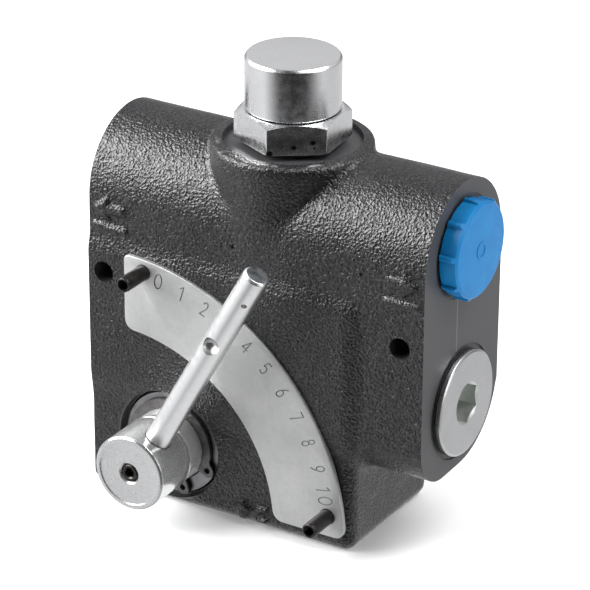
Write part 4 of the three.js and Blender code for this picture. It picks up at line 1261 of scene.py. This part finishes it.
# ------------------------------------------------------------------ floor, light and camera
floor = make("floor", [(-9000, -9000, Z_BOTTOM - 0.2), (9000, -9000, Z_BOTTOM - 0.2), (9000, 9000, Z_BOTTOM - 0.2), (-9000, 9000, Z_BOTTOM - 0.2)], [(0, 1, 2, 3)])
fm = Nodes("pale_floor")
fm.set(Roughness=0.6)
fm.link(fm.ramp(fm.noise(6, 3, 0.5), [(0.3, (0.86, 0.86, 0.86)), (0.7, (0.88, 0.88, 0.88))]), fm.bsdf.inputs["Base Color"])
floor.data.materials.append(fm.mat)
fm.bsdf.inputs["Emission Color"].default_value = (1, 1, 1, 1)
fm.bsdf.inputs["Emission Strength"].default_value = 0.2

floor.visible_glossy = False

WALLS = [(0.0, 0.95), (0.25, 0.88), (0.5, 0.9), (0.67, 1.0), (0.76, 0.66), (0.84, 0.38), (0.92, 0.06), (1.0, 0.02)]
world = bpy.data.worlds.new("studio")
bpy.context.scene.world = world
world.use_nodes = True
wt = world.node_tree
bg = wt.nodes["Background"]


def wnode(kind, **inputs):
    n = wt.nodes.new(kind)
    for k, v in inputs.items():
        n.inputs[int(k[1:])].default_value = v
    return n


def wmath(op, a, b):
    n = wt.nodes.new("ShaderNodeMath")
    n.operation = op
    for i, v in enumerate((a, b)):
        if isinstance(v, (int, float)):
            n.inputs[i].default_value = v
        else:
            wt.links.new(v, n.inputs[i])
    return n.outputs[0]


def wramp(fac, stops):
    r = wt.nodes.new("ShaderNodeValToRGB")
    e = r.color_ramp.elements
    while len(e) < len(stops):
        e.new(0.5)
    for q, (pos, val) in zip(e, stops):
        q.position = pos
        q.color = (val, val, val * 1.005, 1)
    wt.links.new(fac, r.inputs["Fac"])
    return r.outputs["Color"]


tc = wt.nodes.new("ShaderNodeTexCoord")
sep = wt.nodes.new("ShaderNodeSeparateXYZ")
wt.links.new(tc.outputs["Generated"], sep.inputs[0])
wx, wy, wz = sep.outputs
flat = wmath("POWER", wmath("MAXIMUM", wmath("SUBTRACT", 1.0, wmath("MULTIPLY", wz, wz)), 0.0001), 0.5)
# towards the open front of the studio: 1; towards its back wall: -1
front = wmath("DIVIDE", wmath("ADD", wmath("MULTIPLY", wx, 0.515), wmath("MULTIPLY", wy, -0.857)), flat)
side = wmath("DIVIDE", wmath("ADD", wmath("MULTIPLY", wx, -0.857), wmath("MULTIPLY", wy, -0.515)), flat)
around = wramp(wmath("ADD", wmath("MULTIPLY", front, 0.5), 0.5), WALLS)
around_b = wt.nodes.new("ShaderNodeMix")
around_b.data_type = "RGBA"
around_b.blend_type = "MULTIPLY"
around_b.inputs[0].default_value = 1.0
wt.links.new(around, around_b.inputs[6])
wt.links.new(wramp(wmath("ADD", wmath("MULTIPLY", side, 0.5), 0.5), [(0.0, 0.8), (1.0, 1.0)]), around_b.inputs[7])
low = wramp(wmath("ADD", wmath("MULTIPLY", wz, 0.5), 0.5), [(0.0, 1.0), (0.16, 1.0), (0.235, 0.0), (1.0, 0.0)])
# the dark gap at eye level between the lit floor and the overhead windows
gap = wramp(wmath("ADD", wmath("MULTIPLY", wz, 0.5), 0.5), [(0.0, 1.0), (0.4, 1.0), (0.465, 0.34), (0.55, 0.3), (0.63, 0.85), (1.0, 1.0)])
high = wramp(wmath("ADD", wmath("MULTIPLY", wz, 0.5), 0.5), [(0.0, 1.0), (0.76, 1.0), (0.86, 0.5), (1.0, 0.42)])
mixed = wt.nodes.new("ShaderNodeMix")
mixed.data_type = "RGBA"
wt.links.new(low, mixed.inputs[0])
wt.links.new(around_b.outputs[2], mixed.inputs[6])
mixed.inputs[7].default_value = (0.9, 0.9, 0.9, 1)
ceiling = wt.nodes.new("ShaderNodeMix")
ceiling.data_type = "RGBA"
ceiling.blend_type = "MULTIPLY"
ceiling.inputs[0].default_value = 1.0
wt.links.new(mixed.outputs[2], ceiling.inputs[6])
wt.links.new(high, ceiling.inputs[7])
banded = wt.nodes.new("ShaderNodeMix")
banded.data_type = "RGBA"
banded.blend_type = "MULTIPLY"
banded.inputs[0].default_value = 1.0
wt.links.new(ceiling.outputs[2], banded.inputs[6])
wt.links.new(gap, banded.inputs[7])
wt.links.new(banded.outputs[2], bg.inputs["Color"])
bg.inputs["Strength"].default_value = 1.0


def area(name, at, to, size, power, size_y=None):
    d = bpy.data.lights.new(name, "AREA")
    d.energy = power
    d.size = size
    if size_y:
        d.shape = "RECTANGLE"
        d.size_y = size_y
    o = bpy.data.objects.new(name, d)
    bpy.context.scene.collection.objects.link(o)
    o.location = at
    o.rotation_mode = "QUATERNION"
    o.rotation_quaternion = (Vector(at) - Vector(to)).to_track_quat("Z", "Y")
    return o


mid = (0, -0.025, 0.0)
area("left_window", (-0.66, -0.40, 0.46), mid, 0.75, 20.0, 0.7)
area("top_soft", (0.50, 0.10, 0.86), mid, 0.6, 8.0, 0.5)
area("right_soft", (0.95, 0.05, 0.3), mid, 0.4, 2.2, 0.7)

cam_data = bpy.data.cameras.new("camera")
cam = bpy.data.objects.new("camera", cam_data)
bpy.context.scene.collection.objects.link(cam)
az, el, roll, dist = math.radians(31.03), math.radians(25.30), math.radians(0.358), 1.05017
target = Vector((0.001067, -0.025, -0.0041))
back = Vector((math.sin(az) * math.cos(el), -math.cos(az) * math.cos(el), math.sin(el)))
right = Vector((math.cos(az), math.sin(az), 0))
up_v = back.cross(right)
r2 = right * math.cos(roll) + up_v * math.sin(roll)
u2 = -right * math.sin(roll) + up_v * math.cos(roll)
cam.matrix_world = Matrix((
    (r2.x, u2.x, back.x, 0), (r2.y, u2.y, back.y, 0), (r2.z, u2.z, back.z, 0), (0, 0, 0, 1),
))
cam.location = target + back * dist
cam_data.sensor_width = 36
cam_data.lens = 3350.87 / 590 * 36
cam_data.clip_start, cam_data.clip_end = 0.05, 30
bpy.context.scene.camera = cam
bpy.context.scene.view_settings.view_transform = "Standard"
